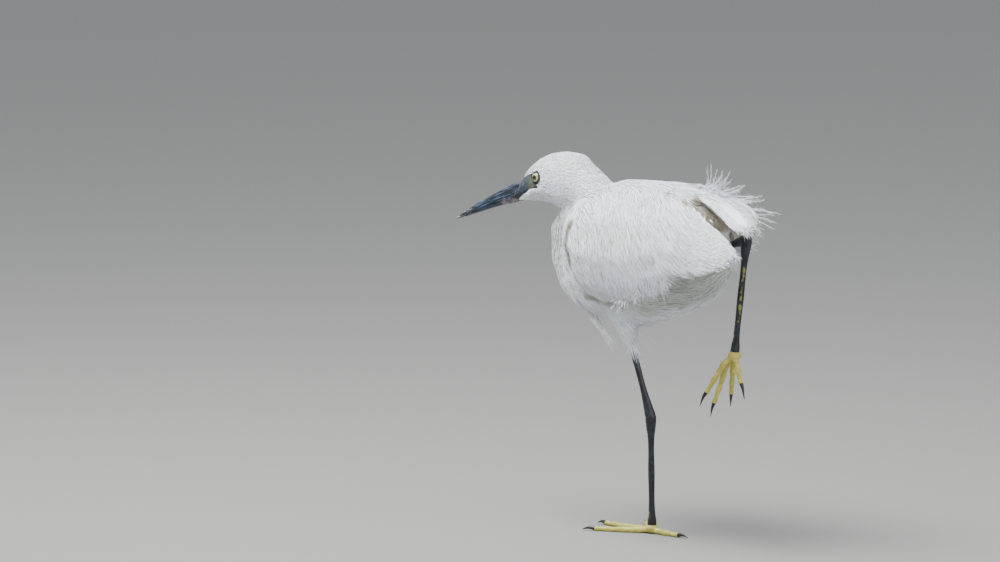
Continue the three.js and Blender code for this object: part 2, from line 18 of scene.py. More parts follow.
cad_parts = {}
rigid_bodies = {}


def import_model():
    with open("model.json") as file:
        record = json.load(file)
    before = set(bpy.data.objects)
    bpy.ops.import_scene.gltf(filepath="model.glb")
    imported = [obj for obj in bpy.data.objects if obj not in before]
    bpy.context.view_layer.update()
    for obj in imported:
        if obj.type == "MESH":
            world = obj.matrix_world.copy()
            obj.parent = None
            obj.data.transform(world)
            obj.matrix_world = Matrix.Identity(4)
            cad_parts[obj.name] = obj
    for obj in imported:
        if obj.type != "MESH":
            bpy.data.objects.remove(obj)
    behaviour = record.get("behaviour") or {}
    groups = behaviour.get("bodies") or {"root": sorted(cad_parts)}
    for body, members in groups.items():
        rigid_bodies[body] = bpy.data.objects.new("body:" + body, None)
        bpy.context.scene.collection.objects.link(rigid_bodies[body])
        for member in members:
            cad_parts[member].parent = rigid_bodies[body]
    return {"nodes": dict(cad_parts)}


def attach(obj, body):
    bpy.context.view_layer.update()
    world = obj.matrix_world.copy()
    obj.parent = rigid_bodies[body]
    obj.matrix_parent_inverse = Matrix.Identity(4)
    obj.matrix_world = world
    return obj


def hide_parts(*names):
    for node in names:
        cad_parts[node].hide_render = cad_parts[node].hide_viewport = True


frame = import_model()

logging.basicConfig(level=logging.INFO, format="%(message)s")
LOG = logging.getLogger("egret")

# One millimetre in metres, and where the body's frame starts in the part's frame
MM = 0.001
BODY_ORIGIN = np.array([-5.0, -149.0, 0.0])
RNG = np.random.default_rng(11)

# The head's turn to the left, about an upright line
HEAD_TURN = math.radians(19)
HEAD_PIVOT = np.array([0.0, 68.0, 0.0])
HEAD_FORWARD = np.array([math.sin(HEAD_TURN), -math.cos(HEAD_TURN), 0.0])
HEAD_LEFT = np.array([math.cos(HEAD_TURN), math.sin(HEAD_TURN), 0.0])

EYE_RADIUS = 5.6
EYE_FORWARD, EYE_HEIGHT, EYE_SIDE = 56.6, 301.7, 10.6
IRIS_RADIUS, PUPIL_RADIUS = 3.75, 2.3

# Joints of the legs
LEFT_KNEE, LEFT_HEEL, LEFT_FOOT = (22, 111, 236), (12, 156, 104), (5, 149, 4.6)
RIGHT_KNEE, RIGHT_HEEL, RIGHT_FOOT = (-32, 116, 226), (-18, 251.5, 268), (-13, 241, 166)

# Side of a feather's patch on the skin's unwrap
PATCH = 0.003
COAT_PIECE_TRIANGLES = 190_000

Array = np.ndarray


def placed(points: object) -> Array:
    """Points of the body's frame in metres of the part's frame."""
    return (np.asarray(points, float) + BODY_ORIGIN) * MM


def head_point(forward: float, height: float, left: float = 0.0) -> Array:
    """A point of the turned head."""
    point = HEAD_PIVOT + HEAD_FORWARD * forward + HEAD_LEFT * left
    return np.array([point[0], point[1], height])


def unit(vectors: Array) -> Array:
    """Vectors at length one."""
    return vectors / np.maximum(np.linalg.norm(vectors, axis=-1, keepdims=True), 1e-9)


def smooth_table(rows: Sequence[Sequence[float]], at: Array) -> Array:
    """A smooth curve through rows of stations.

    Args:
        rows: Rows of a place followed by values.
        at: Places to read it at.
    Returns:
        A row of values for each place.
    """
    table = np.array(rows, float)
    xs, ys = table[:, 0], table[:, 1:]
    slopes = np.gradient(ys, xs, axis=0)
    at = np.clip(at, xs[0], xs[-1])
    i = np.clip(np.searchsorted(xs, at) - 1, 0, len(xs) - 2)
    step = (xs[i + 1] - xs[i])[:, None]
    t = ((at - xs[i]) / (xs[i + 1] - xs[i]))[:, None]
    rise, fall = t * t * (3 - 2 * t), 1 - t * t * (3 - 2 * t)
    bend = t * (1 - t) ** 2 * slopes[i] - t * t * (1 - t) * slopes[i + 1]
    return fall * ys[i] + rise * ys[i + 1] + step * bend


def bent(points: Sequence[Sequence[float]], count: int) -> Array:
    """Evenly numbered points of a smooth line."""
    rows = [[i, *p] for i, p in enumerate(points)]
    return smooth_table(rows, np.linspace(0, len(points) - 1, count))


class Val:
    """A number in a shader, with arithmetic that makes Math nodes."""

    def __init__(self, graph: "Graph", socket: object) -> None:
        """Holds the graph and the socket that gives the number."""
        self.graph = graph
        self.socket = socket

    def _math(self, kind: str, *others: object) -> "Val":
        """A Math node with this number first."""
        return self.graph.math(kind, self, *others)

    def __add__(self, other: object) -> "Val":
        """This number plus another."""
        return self._math("ADD", other)

    def __sub__(self, other: object) -> "Val":
        """This number less another."""
        return self._math("SUBTRACT", other)

    def __rsub__(self, other: object) -> "Val":
        """Another number less this one."""
        return self.graph.math("SUBTRACT", other, self)

    def __mul__(self, other: object) -> "Val":
        """This number times another."""
        return self._math("MULTIPLY", other)

    __radd__ = __add__
    __rmul__ = __mul__

    def least(self, other: object) -> "Val":
        """The smaller of two numbers."""
        return self._math("MINIMUM", other)

    def ramp(self, low: float, high: float) -> "Val":
        """A smooth step.

        Args:
            low: Where it is 0.
            high: Where it is 1.
        Returns:
            The step, from 0 to 1.
        """
        node = self.graph.node(
            "ShaderNodeMapRange",
            {"interpolation_type": "SMOOTHSTEP"},
            {"Value": self, "From Min": low, "From Max": high},
        )
        return Val(self.graph, node.outputs["Result"])


class Graph:
    """The node tree of one procedural material."""

    def __init__(self, name: str) -> None:
        """Makes the material with a shader that is linked to its output.

        Args:
            name: The material's name.
        """
        self.material = bpy.data.materials.new(name)
        self.material.use_nodes = True
        self.tree = self.material.node_tree
        self.tree.nodes.clear()
        self.shader = self.node("ShaderNodeBsdfPrincipled")
        output = self.node("ShaderNodeOutputMaterial")
        self.tree.links.new(self.shader.outputs["BSDF"], output.inputs["Surface"])
        self.place = self.node("ShaderNodeTexCoord").outputs["Object"]

    def node(self, kind: str, settings: dict | None = None, sockets: dict | None = None) -> object:
        """Adds a node.

        Args:
            kind: The node's type.
            settings: Its attributes.
            sockets: Values, or sockets to link, by input name or number.
        Returns:
            The node.
        """
        node = self.tree.nodes.new(kind)
        for key, value in (settings or {}).items():
            setattr(node, key, value)
        for key, value in (sockets or {}).items():
            self.feed(node.inputs[key], value)
        return node

    def feed(self, socket: object, value: object) -> None:
        """Sets or links an input.

        Args:
            socket: The input.
            value: A number, a colour, a Val or another node's output.
        """
        source = value.socket if isinstance(value, Val) else value
        if isinstance(source, bpy.types.NodeSocket):
            self.tree.links.new(source, socket)
        elif hasattr(source, "__len__") and len(source) == 3 and socket.type == "RGBA":
            socket.default_value = (*source, 1)
        else:
            socket.default_value = source

    def math(self, kind: str, *values: object) -> Val:
        """A Math node."""
        return Val(self, self.node("ShaderNodeMath", {"operation": kind}, dict(enumerate(values))).outputs[0])

    def mix(self, share: object, low: object, high: object) -> object:
        """A mix of two colours."""
        node = self.node("ShaderNodeMix", {"data_type": "RGBA"}, {0: share, 6: low, 7: high})
        return node.outputs[2]

    def stretched(self, scale: Sequence[float]) -> object:
        """Object coordinates with a scale of their own along each axis."""
        node = self.node("ShaderNodeVectorMath", {"operation": "MULTIPLY"}, {0: self.place, 1: scale})
        return node.outputs[0]

    def noise(self, scale: float, detail: float = 2.0, over: object = None) -> Val:
        """A noise."""
        sockets = {"Vector": over or self.place, "Scale": scale, "Detail": detail}
        return Val(self, self.node("ShaderNodeTexNoise", None, sockets).outputs["Fac"])

    def near(self, points: Sequence[Array], low: float, high: float, jitter: object = 0.0) -> Val:
        """A mask that is 1 near points of the body and fades out.

        Args:
            points: The points, in millimetres of the body's frame.
            low: Distance up to which it is 1, in millimetres.
            high: Distance from which it is 0.
            jitter: Added to the distance, in metres.
        Returns:
            The mask.
        """
        nearest = None
        for point in points:
            sockets = {0: self.place, 1: tuple(placed(point))}
            node = self.node("ShaderNodeVectorMath", {"operation": "DISTANCE"}, sockets)
            distance = Val(self, node.outputs["Value"])
            nearest = distance if nearest is None else nearest.least(distance)
        return 1 - (nearest + jitter).ramp(low * MM, high * MM)

    def vector(self, kind: str, *values: object, output: int = 0) -> object:
        """A Vector Math node."""
        return self.node("ShaderNodeVectorMath", {"operation": kind}, dict(enumerate(values))).outputs[output]

    def along(self, points: Sequence[Array], low: float, high: float, jitter: object = 0.0) -> Val:
        """A mask that is 1 near a line on the body and fades out.

        Args:
            points: The line's points, in millimetres of the body's frame.
            low: Distance up to which it is 1, in millimetres.
            high: Distance from which it is 0.
            jitter: Added to the distance, in metres.
        Returns:
            The mask.
        """
        nearest = None
        for start, end in zip(placed(points), placed(points[1:])):
            run = end - start
            from_start = self.vector("SUBTRACT", self.place, tuple(start))
            share = Val(self, self.vector("DOT_PRODUCT", from_start, tuple(run / run.dot(run)), output=1))
            inside = self.math("MINIMUM", self.math("MAXIMUM", share, 0.0), 1.0)
            shares = self.node("ShaderNodeCombineXYZ", None, {0: inside, 1: inside, 2: inside}).outputs[0]
            foot = self.vector("MULTIPLY", shares, tuple(run))
            distance = Val(self, self.vector("DISTANCE", from_start, foot, output=1))
            nearest = distance if nearest is None else nearest.least(distance)
        return 1 - (nearest + jitter).ramp(low * MM, high * MM)

    def head_place(self) -> tuple[Val, Val]:
        """Where a point is on the head.

        Returns:
            Its distance forward and its height, in millimetres.
        """
        from_pivot = self.vector("SUBTRACT", self.place, tuple(placed(HEAD_PIVOT)))
        forward = Val(self, self.vector("DOT_PRODUCT", from_pivot, tuple(HEAD_FORWARD), output=1))
        height = Val(self, self.vector("DOT_PRODUCT", from_pivot, (0, 0, 1), output=1))
        return forward * (1 / MM), height * (1 / MM)

    def bump(self, height: Val, distance: float, strength: float) -> None:
        """A bump on the surface."""
        sockets = {"Height": height, "Distance": distance * MM, "Strength": strength}
        self.feed(self.shader.inputs["Normal"], self.node("ShaderNodeBump", None, sockets).outputs["Normal"])

    def scaled(self, scale: float, strength: float) -> None:
        """A relief of small scales of a given fineness."""
        scales = self.node("ShaderNodeTexVoronoi", None, {"Vector": self.place, "Scale": scale})
        self.bump(Val(self, scales.outputs["Distance"]), 0.2, strength)


@dataclass(frozen=True)
class Finish:
    """A finish: its colour, roughness, clear coat and what draws its markings and painted light."""

    name: str
    color: tuple[float, float, float]
    roughness: float
    clear: float = 0.0
    sheen: float = 0.0
    markings: Callable[[Graph], None] | None = None

    def made(self) -> bpy.types.Material:
        """Makes the material, or finds it.

        Returns:
            The material.
        """
        if self.name in bpy.data.materials:
            return bpy.data.materials[self.name]
        graph = Graph(self.name)
        inputs = graph.shader.inputs
        inputs["Base Color"].default_value = (*self.color, 1)
        inputs["Roughness"].default_value = self.roughness
        inputs["Coat Weight"].default_value = self.clear
        inputs["Coat Roughness"].default_value = 0.06
        inputs["Sheen Weight"].default_value = self.sheen
        if self.markings:
            self.markings(graph)
        return graph.material


# Palette
# The third colour is painted shade, for the belly beneath the near wing.
WHITE, CREAM, BELLY_SHADE = (0.90, 0.935, 0.97), (0.86, 0.77, 0.62), (0.50, 0.53, 0.47)
# Painted shade: warm in the gap under the tail, darker in the folds.
WARM_SHADE, FOLD_SHADE = (0.42, 0.34, 0.22), (0.30, 0.25, 0.18)
OLIVE_SKIN, BLUE_SKIN, PALE_SKIN = (0.085, 0.10, 0.055), (0.012, 0.022, 0.038), (0.06, 0.095, 0.14)
LIP = (0.002, 0.003, 0.005)
# The middle colour is a painted bluish sheen over the black horn.
HORN_DARK, HORN_SHEEN, HORN_PINK = (0.004, 0.007, 0.013), (0.055, 0.095, 0.155), (0.36, 0.29, 0.30)
# Painted pale highlights for the bill's ridge and tip.
RIDGE_HIGHLIGHT, TIP_HIGHLIGHT = (0.42, 0.44, 0.45), (0.62, 0.6, 0.56)
LEG_BLACK, LEG_BLUE = (0.003, 0.0035, 0.0045), (0.014, 0.022, 0.034)
LEG_STREAK, LEG_YELLOW = (0.30, 0.31, 0.06), (0.42, 0.42, 0.12)
FOOT_DULL, FOOT_BRIGHT = (0.40, 0.37, 0.06), (0.58, 0.50, 0.13)
EYE_RIM, PUPIL_BLACK = (0.01, 0.012, 0.012), (0.002, 0.002, 0.002)
IRIS_DARK, IRIS_PALE = (0.36, 0.34, 0.12), (0.62, 0.58, 0.26)

# The mouth's two ends, as distances forward and heights on the head
MOUTH = ((62.5, 291.5), (148.6, 257.7))
MOUTH_SLOPE = (MOUTH[1][1] - MOUTH[0][1]) / (MOUTH[1][0] - MOUTH[0][0])

# Edges of the bare face, each as a distance forward, a height and a slope
LORES_TOP = (60.0, 306.0, -0.40)
CHEEK_BACK, CHEEK_FRONT = (65.0, 290.5, -0.2), (65.0, 290.5, -0.68)
LORES_BACK = (54.0, 293.0, 0.7)

# Lines on the body that painted shade and folds follow
GAP_LINE = [(17, 219, 297), (14, 238, 287), (8, 258, 279), (-6, 272, 277)]
RUMP_LINE = [(2, 222, 292), (0, 246, 284)]
FAR_WING_INSIDE = [(-21, 236, 282), (-22, 256, 277)]
FAR_WING_HOLLOW = [(-28, 199, 261), (-27, 216, 265)]
BELLY_LINE = [(34, 168, 192), (32, 190, 205), (24, 208, 214), (17, 224, 223), (8, 242, 238)]
FRONT_CREASE = [
    (46, 87, 270), (47.5, 83, 262), (48.5, 83.5, 253), (48.5, 85, 245),
    (44, 85, 233), (36, 82, 222), (33.5, 89, 211),
]
LOWER_CREASE = [
    (29.5, 88, 204), (34.8, 114, 204.4), (32.4, 129, 203),
    (31.5, 146, 206), (30, 160, 210), (28, 173, 214.5),
]

# Folds with their depths, folds with the share of their painted shade, and lines of painted warm shade with
# the reach of theirs
CREASES = ((FRONT_CREASE, 3.8), (LOWER_CREASE, 3.4))
CREASE_SHADES = ((FRONT_CREASE[:5], 0.85), (FRONT_CREASE[4:], 0.3), (LOWER_CREASE, 0.6))
CREASE_SHADE_REACH = (0.9, 5.0)
WARM_SHADED_LINES = ((GAP_LINE, 8, 11.5), (RUMP_LINE, 8, 13), (FAR_WING_INSIDE, 8, 14), (FAR_WING_HOLLOW, 9.5, 13))
# Reach of the painted shade on the belly.
BELLY_SHADE_REACH = (9, 23)


def plumage_markings_and_shade(graph: Graph) -> None:
    """White with faint cream streaks, painted warm shade under the tail, painted shade on the belly and along
    the folds, and bare lores.

    Args:
        graph: The material's graph.
    """
    streaks = graph.noise(1.0, 3.0, graph.stretched((170, 120, 26))).ramp(0.52, 0.74)
    color = graph.mix(streaks * 0.45, WHITE, CREAM)
    wobble = (graph.noise(90.0) - 0.5) * 0.006
    # Painted shade on the belly beneath the near wing.
    color = graph.mix(graph.along(BELLY_LINE, *BELLY_SHADE_REACH, wobble) * 0.8, color, BELLY_SHADE)
    fine = graph.noise(1.0, 2.0, graph.stretched((420, 420, 60))).ramp(0.35, 0.7)
    # Painted warm shade in the gap between the tail and the near wing, under the rump and inside the far
    # wing.
    tan = fine * 0.4 + 0.5
    for line, low, high in WARM_SHADED_LINES:
        color = graph.mix(graph.along(line, low, high, wobble * 0.5) * tan, color, WARM_SHADE)
    # Painted shade along the folds.
    for line, share in CREASE_SHADES:
        color = graph.mix(graph.along(line, *CREASE_SHADE_REACH, wobble * 0.5) * share, color, FOLD_SHADE)
    forward, height = graph.head_place()
    ragged = (graph.noise(500.0) - 0.5) * 1.6
    bare = bare_face(graph, forward, height, ragged)
    skin = bare_skin(graph, forward, height, ragged)
    graph.feed(graph.shader.inputs["Base Color"], graph.mix(bare, color, skin))


def bare_face(graph: Graph, forward: Val, height: Val, ragged: Val) -> Val:
    """The mask of the lores, between the crown, the cheek and the eye.

    Args:
        graph: The material's graph.
        forward: The distance forward on the head.
        height: The height on the head.
        ragged: What makes its edge uneven.
    Returns:
        The mask.
    """
    over = [height - line[1] - (forward - line[0]) * line[2] for line in (LORES_TOP, CHEEK_BACK, CHEEK_FRONT)]
    cheek = graph.math("MAXIMUM", over[1], over[2])
    behind = forward - LORES_BACK[0] - (height - LORES_BACK[1]) * LORES_BACK[2]
    under_crown = 1 - (over[0] + ragged).ramp(-0.5, 0.3)
    return (cheek + ragged).ramp(-0.3, 0.5) * under_crown * (behind + ragged).ramp(0, 1)


def bare_skin(graph: Graph, forward: Val, height: Val, ragged: Val) -> object:
    """The lores' colour: olive by the eye, blue-grey by the bill, with the dark line of the mouth.

    Args:
        graph: The material's graph.
        forward: The distance forward on the head.
        height: The height on the head.
        ragged: What makes the colours' border uneven.
    Returns:
        The colour's socket.
    """
    skin = graph.mix((forward + ragged * 2).ramp(62, 71), OLIVE_SKIN, BLUE_SKIN)
    skin = graph.mix(graph.noise(420.0).ramp(0.48, 0.62) * 0.6, skin, PALE_SKIN)
    lip = height - MOUTH[0][1] - (forward - MOUTH[0][0]) * MOUTH_SLOPE
    return graph.mix(1 - graph.math("ABSOLUTE", lip).ramp(0.25, 0.9), skin, LIP)


def bill_markings(graph: Graph) -> None:
    """Black horn with streaks of painted bluish sheen, streaked painted pale highlights along the ridge and
    the tip, pinkish at the lower root.

    Args:
        graph: The material's graph.
    """
    forward, height = graph.head_place()
    level = (height - forward * MOUTH_SLOPE) * 0.8
    grain = graph.node("ShaderNodeCombineXYZ", None, {0: forward * 0.07, 1: level}).outputs[0]
    # Black horn with streaks of painted bluish sheen along it.
    color = graph.mix(graph.noise(1.0, 4.0, grain).ramp(0.46, 0.68), HORN_DARK, HORN_SHEEN)
    highlight_streaks = graph.noise(2.2, 5.0, grain).ramp(0.55, 0.64)
    ridge = [head_point(t, z) for t, z in ((80, 299), (88, 294.5), (96, 290.5))]
    tip = [head_point(t, z) for t, z in ((136, 266), (142, 262), (147, 259))]
    # Painted highlights, in streaks, on the ridge and the tip.
    color = graph.mix(graph.near(ridge, 2, 7) * highlight_streaks * 0.8, color, RIDGE_HIGHLIGHT)
    color = graph.mix(graph.near(tip, 2.5, 7) * highlight_streaks, color, TIP_HIGHLIGHT)
    root = [head_point(t, z, s) for t, z in ((78, 279), (86, 277.5), (95, 275)) for s in (-5, 5)]
    pink = graph.near(root, 1.5, 6, (graph.noise(300.0) - 0.5) * 0.008)
    graph.feed(graph.shader.inputs["Base Color"], graph.mix(pink * 0.55, color, HORN_PINK))
    graph.bump(graph.noise(1.0, 5.0, graph.stretched((700, 160, 900))), 0.25, 0.35)


def leg_markings(graph: Graph) -> None:
    """Black scaled skin with a blue sheen, yellow at the foot and in a streak down the lifted shank.

    Args:
        graph: The material's graph.
    """
    mottle = graph.noise(160.0, 3.0).ramp(0.42, 0.66)
    color = graph.mix(mottle, LEG_BLACK, LEG_BLUE)
    heel, foot = np.array(RIGHT_HEEL, float), np.array(RIGHT_FOOT, float)
    streak = [heel + (foot - heel) * share + (2.0, 2.6, 0) for share in (0.24, 0.7)]
    wobble = (graph.noise(240.0) - 0.5) * 0.006
    color = graph.mix(graph.along(streak, 0.2, 1.3, wobble) * 0.75, color, LEG_STREAK)
    lower = [heel + (foot - heel) * share + (0, -2.5, 0) for share in (0.84, 1.0)]
    left_heel, left_foot = np.array(LEFT_HEEL, float), np.array(LEFT_FOOT, float)
    near = [left_heel + (left_foot - left_heel) * share + (0, -2.5, 0) for share in (0.88, 1.0)]
    for line in (lower, near):
        color = graph.mix(graph.along(line, 2.2, 4.2, wobble), color, LEG_YELLOW)
    graph.feed(graph.shader.inputs["Base Color"], color)
    graph.scaled(620.0, 0.3)


def foot_markings(graph: Graph) -> None:
    """Yellow-green skin, duller in random patches.

    Args:
        graph: The material's graph.
    """
    color = graph.mix(graph.noise(180.0, 3.0).ramp(0.4, 0.66), FOOT_DULL, FOOT_BRIGHT)
    graph.feed(graph.shader.inputs["Base Color"], color)
    graph.scaled(700.0, 0.35)


def eye_markings(graph: Graph) -> None:
    """A pale yellow iris round a black pupil, dark at its rim.

    Args:
        graph: The material's graph.
    """
    fronts = [Eye.front_of(side) for side in (1, -1)]
    iris = graph.near(fronts, IRIS_RADIUS - 0.3, IRIS_RADIUS + 0.3)
    pupil = graph.near(fronts, PUPIL_RADIUS - 0.15, PUPIL_RADIUS + 0.15)
    yellow = graph.mix(graph.noise(900.0, 3.0).ramp(0.35, 0.7), IRIS_DARK, IRIS_PALE)
    color = graph.mix(iris, EYE_RIM, yellow)
    graph.feed(graph.shader.inputs["Base Color"], graph.mix(pupil, color, PUPIL_BLACK))


PLUMAGE = Finish("plumage_white", WHITE, 0.75, sheen=0.1, markings=plumage_markings_and_shade)
BILL = Finish("bill_horn", (0.02, 0.03, 0.04), 0.36, markings=bill_markings)
EYE = Finish("eye_gloss", (0.6, 0.55, 0.15), 0.12, clear=1.0, markings=eye_markings)
LID = Finish("eye_lid", (0.03, 0.035, 0.03), 0.5)
LEG = Finish("leg_skin_black", (0.01, 0.012, 0.015), 0.38, markings=leg_markings)
FOOT = Finish("foot_skin_yellow", (0.5, 0.45, 0.1), 0.5, markings=foot_markings)
CLAW = Finish("claw_horn", (0.012, 0.009, 0.007), 0.35)
FLOOR = Finish("floor_pale", (0.25, 0.245, 0.235), 0.85)


def new_object(name: str, mesh: bpy.types.Mesh, finish: Finish, smooth: bool = True) -> bpy.types.Object:
    """Puts a mesh into the scene.

    Args:
        name: The object's name.
        mesh: Its mesh.
        finish: Its finish.
        smooth: Whether its faces are shaded smooth.
    Returns:
        The object.
    """
    made = bpy.data.objects.new(name, mesh)
    bpy.context.scene.collection.objects.link(made)
    mesh.materials.clear()
    mesh.materials.append(finish.made())
    mesh.polygons.foreach_set("use_smooth", [smooth] * len(mesh.polygons))
    mesh.update()
    LOG.info("%s: %d faces", name, len(mesh.polygons))
    return made


def finished(shape: bmesh.types.BMesh, name: str, finish: Finish, smooth: bool = True) -> bpy.types.Object:
    """Turns a bmesh into an object and frees it.

    Args:
        shape: The bmesh.
        name: The object's name.
        finish: Its finish.
        smooth: Whether its faces are shaded smooth.
    Returns:
        The object.
    """
    mesh = bpy.data.meshes.new(name)
    shape.to_mesh(mesh)
    shape.free()
    return new_object(name, mesh, finish, smooth)


def declare(piece: bpy.types.Object, slot: str, *nodes: str) -> None:
    """Hangs a piece on the frame's root and hides the nodes that it stands for.

    Args:
        piece: The piece.
        slot: Not used.
        nodes: The nodes it stands for.
    """
    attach(piece, "root")
    if nodes:
        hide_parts(*nodes)


def stitched(shape: bmesh.types.BMesh, rings: Array, looped: bool = False) -> list[list[bmesh.types.BMVert]]:
    """Joins rings of points into a closed surface.

    Args:
        shape: The bmesh that takes it.
        rings: Rings by points by coordinates, in metres.
        looped: Whether the last ring joins the first, so that there are no ends.
    Returns:
        The rings' vertices.
    """
    rows = [[shape.verts.new(p) for p in ring] for ring in rings]
    for one, two in zip(rows, rows[1:] + rows[:1] if looped else rows[1:]):
        for i in range(len(one)):
            j = (i + 1) % len(one)
            shape.faces.new((one[i], one[j], two[j], two[i]))
    if not looped:
        shape.faces.new(rows[0][::-1])
        shape.faces.new(rows[-1])
    return rows


def patched(layer: object, rows: list[list[bmesh.types.BMVert]], place: Array, across: int) -> None:
    """Lays a stitched feather on its small patch of the skin's unwrap.

    Args:
        layer: The UV layer.
        rows: The feather's rings of vertices.
        place: The root's place on the unwrap.
        across: The number of a ring's steps that the patch is wide.
    """
    for k, row in enumerate(rows):
        for i, vert in enumerate(row):
            spot = (place[0] + (i / across - 0.5) * PATCH, place[1] + (k / len(rows) - 0.5) * PATCH)
            for loop in vert.link_loops:
                loop[layer].uv = spot


def lofted(rings: Array, name: str, finish: Finish) -> bpy.types.Object:
    """A closed body through rings of points.

    Args:
        rings: Rings by points by coordinates, in millimetres of the body's frame.
        name: The object's name.
        finish: Its finish.
    Returns:
        The object.
    """
    shape = bmesh.new()
    stitched(shape, placed(rings))
    bmesh.ops.recalc_face_normals(shape, faces=shape.faces)
    return finished(shape, name, finish)


def tube_rings(
    line: Array,
    radii: Array,
    around: int,
    side: Sequence[float],
    relief: Callable[[Array, Array], Array] | None = None,
) -> Array:
    """Rings of a round limb along a line.

    Args:
        line: The points of its middle.
        radii: A radius, or a radius across and one in the bend's plane, for each point.
        around: How many points a ring has.
        side: A direction across the line.
        relief: Gives a factor for the radius from the share along and the angle.
    Returns:
        The rings.
    """
    ways = unit(np.gradient(line, axis=0))
    lift = unit(np.cross(ways, np.array(side, float)))
    across = unit(np.cross(lift, ways))
    angles = np.linspace(0, 2 * math.pi, around, endpoint=False)
    radii = np.array(radii, float)
    wide, deep = (radii, radii) if radii.ndim == 1 else (radii[:, 0], radii[:, 1])
    factor = np.ones((len(line), around))
    if relief:
        shares = np.linspace(0, 1, len(line))
        factor = relief(shares[:, None], angles[None, :])
    wide_part = across[:, None] * (np.cos(angles)[None, :, None] * (wide[:, None] * factor)[..., None])
    deep_part = lift[:, None] * (np.sin(angles)[None, :, None] * (deep[:, None] * factor)[..., None])
    return line[:, None] + wide_part + deep_part


@dataclass(frozen=True)
class Guide:
    """How the coat lies at a place: its way, length, width, depth, share of plumes and piece."""

    place: tuple[float, float, float]
    way: tuple[float, float, float]
    length: float
    width: float
    depth: float
    plumes: float
    piece: str


def head_guide(forward: float, height: float, left: float, back: float, rise: float, length: float) -> Guide:
    """A guide on the head or the upper neck.

    Args:
        forward: Its place towards the bill.
        height: Its height.
        left: Its place to the left.
        back: How much it points backward.
        rise: How much it points up.
        length: The feathers' length.
    Returns:
        The guide.
    """
    way = -HEAD_FORWARD * back + np.array([0, 0, rise])
    place = tuple(head_point(forward, height, left))
    name = "head" if forward > 20 else "neck"
    return Guide(place, tuple(way), length, 0.5 + length * 0.07, 0.6 + length * 0.12, 0, name)


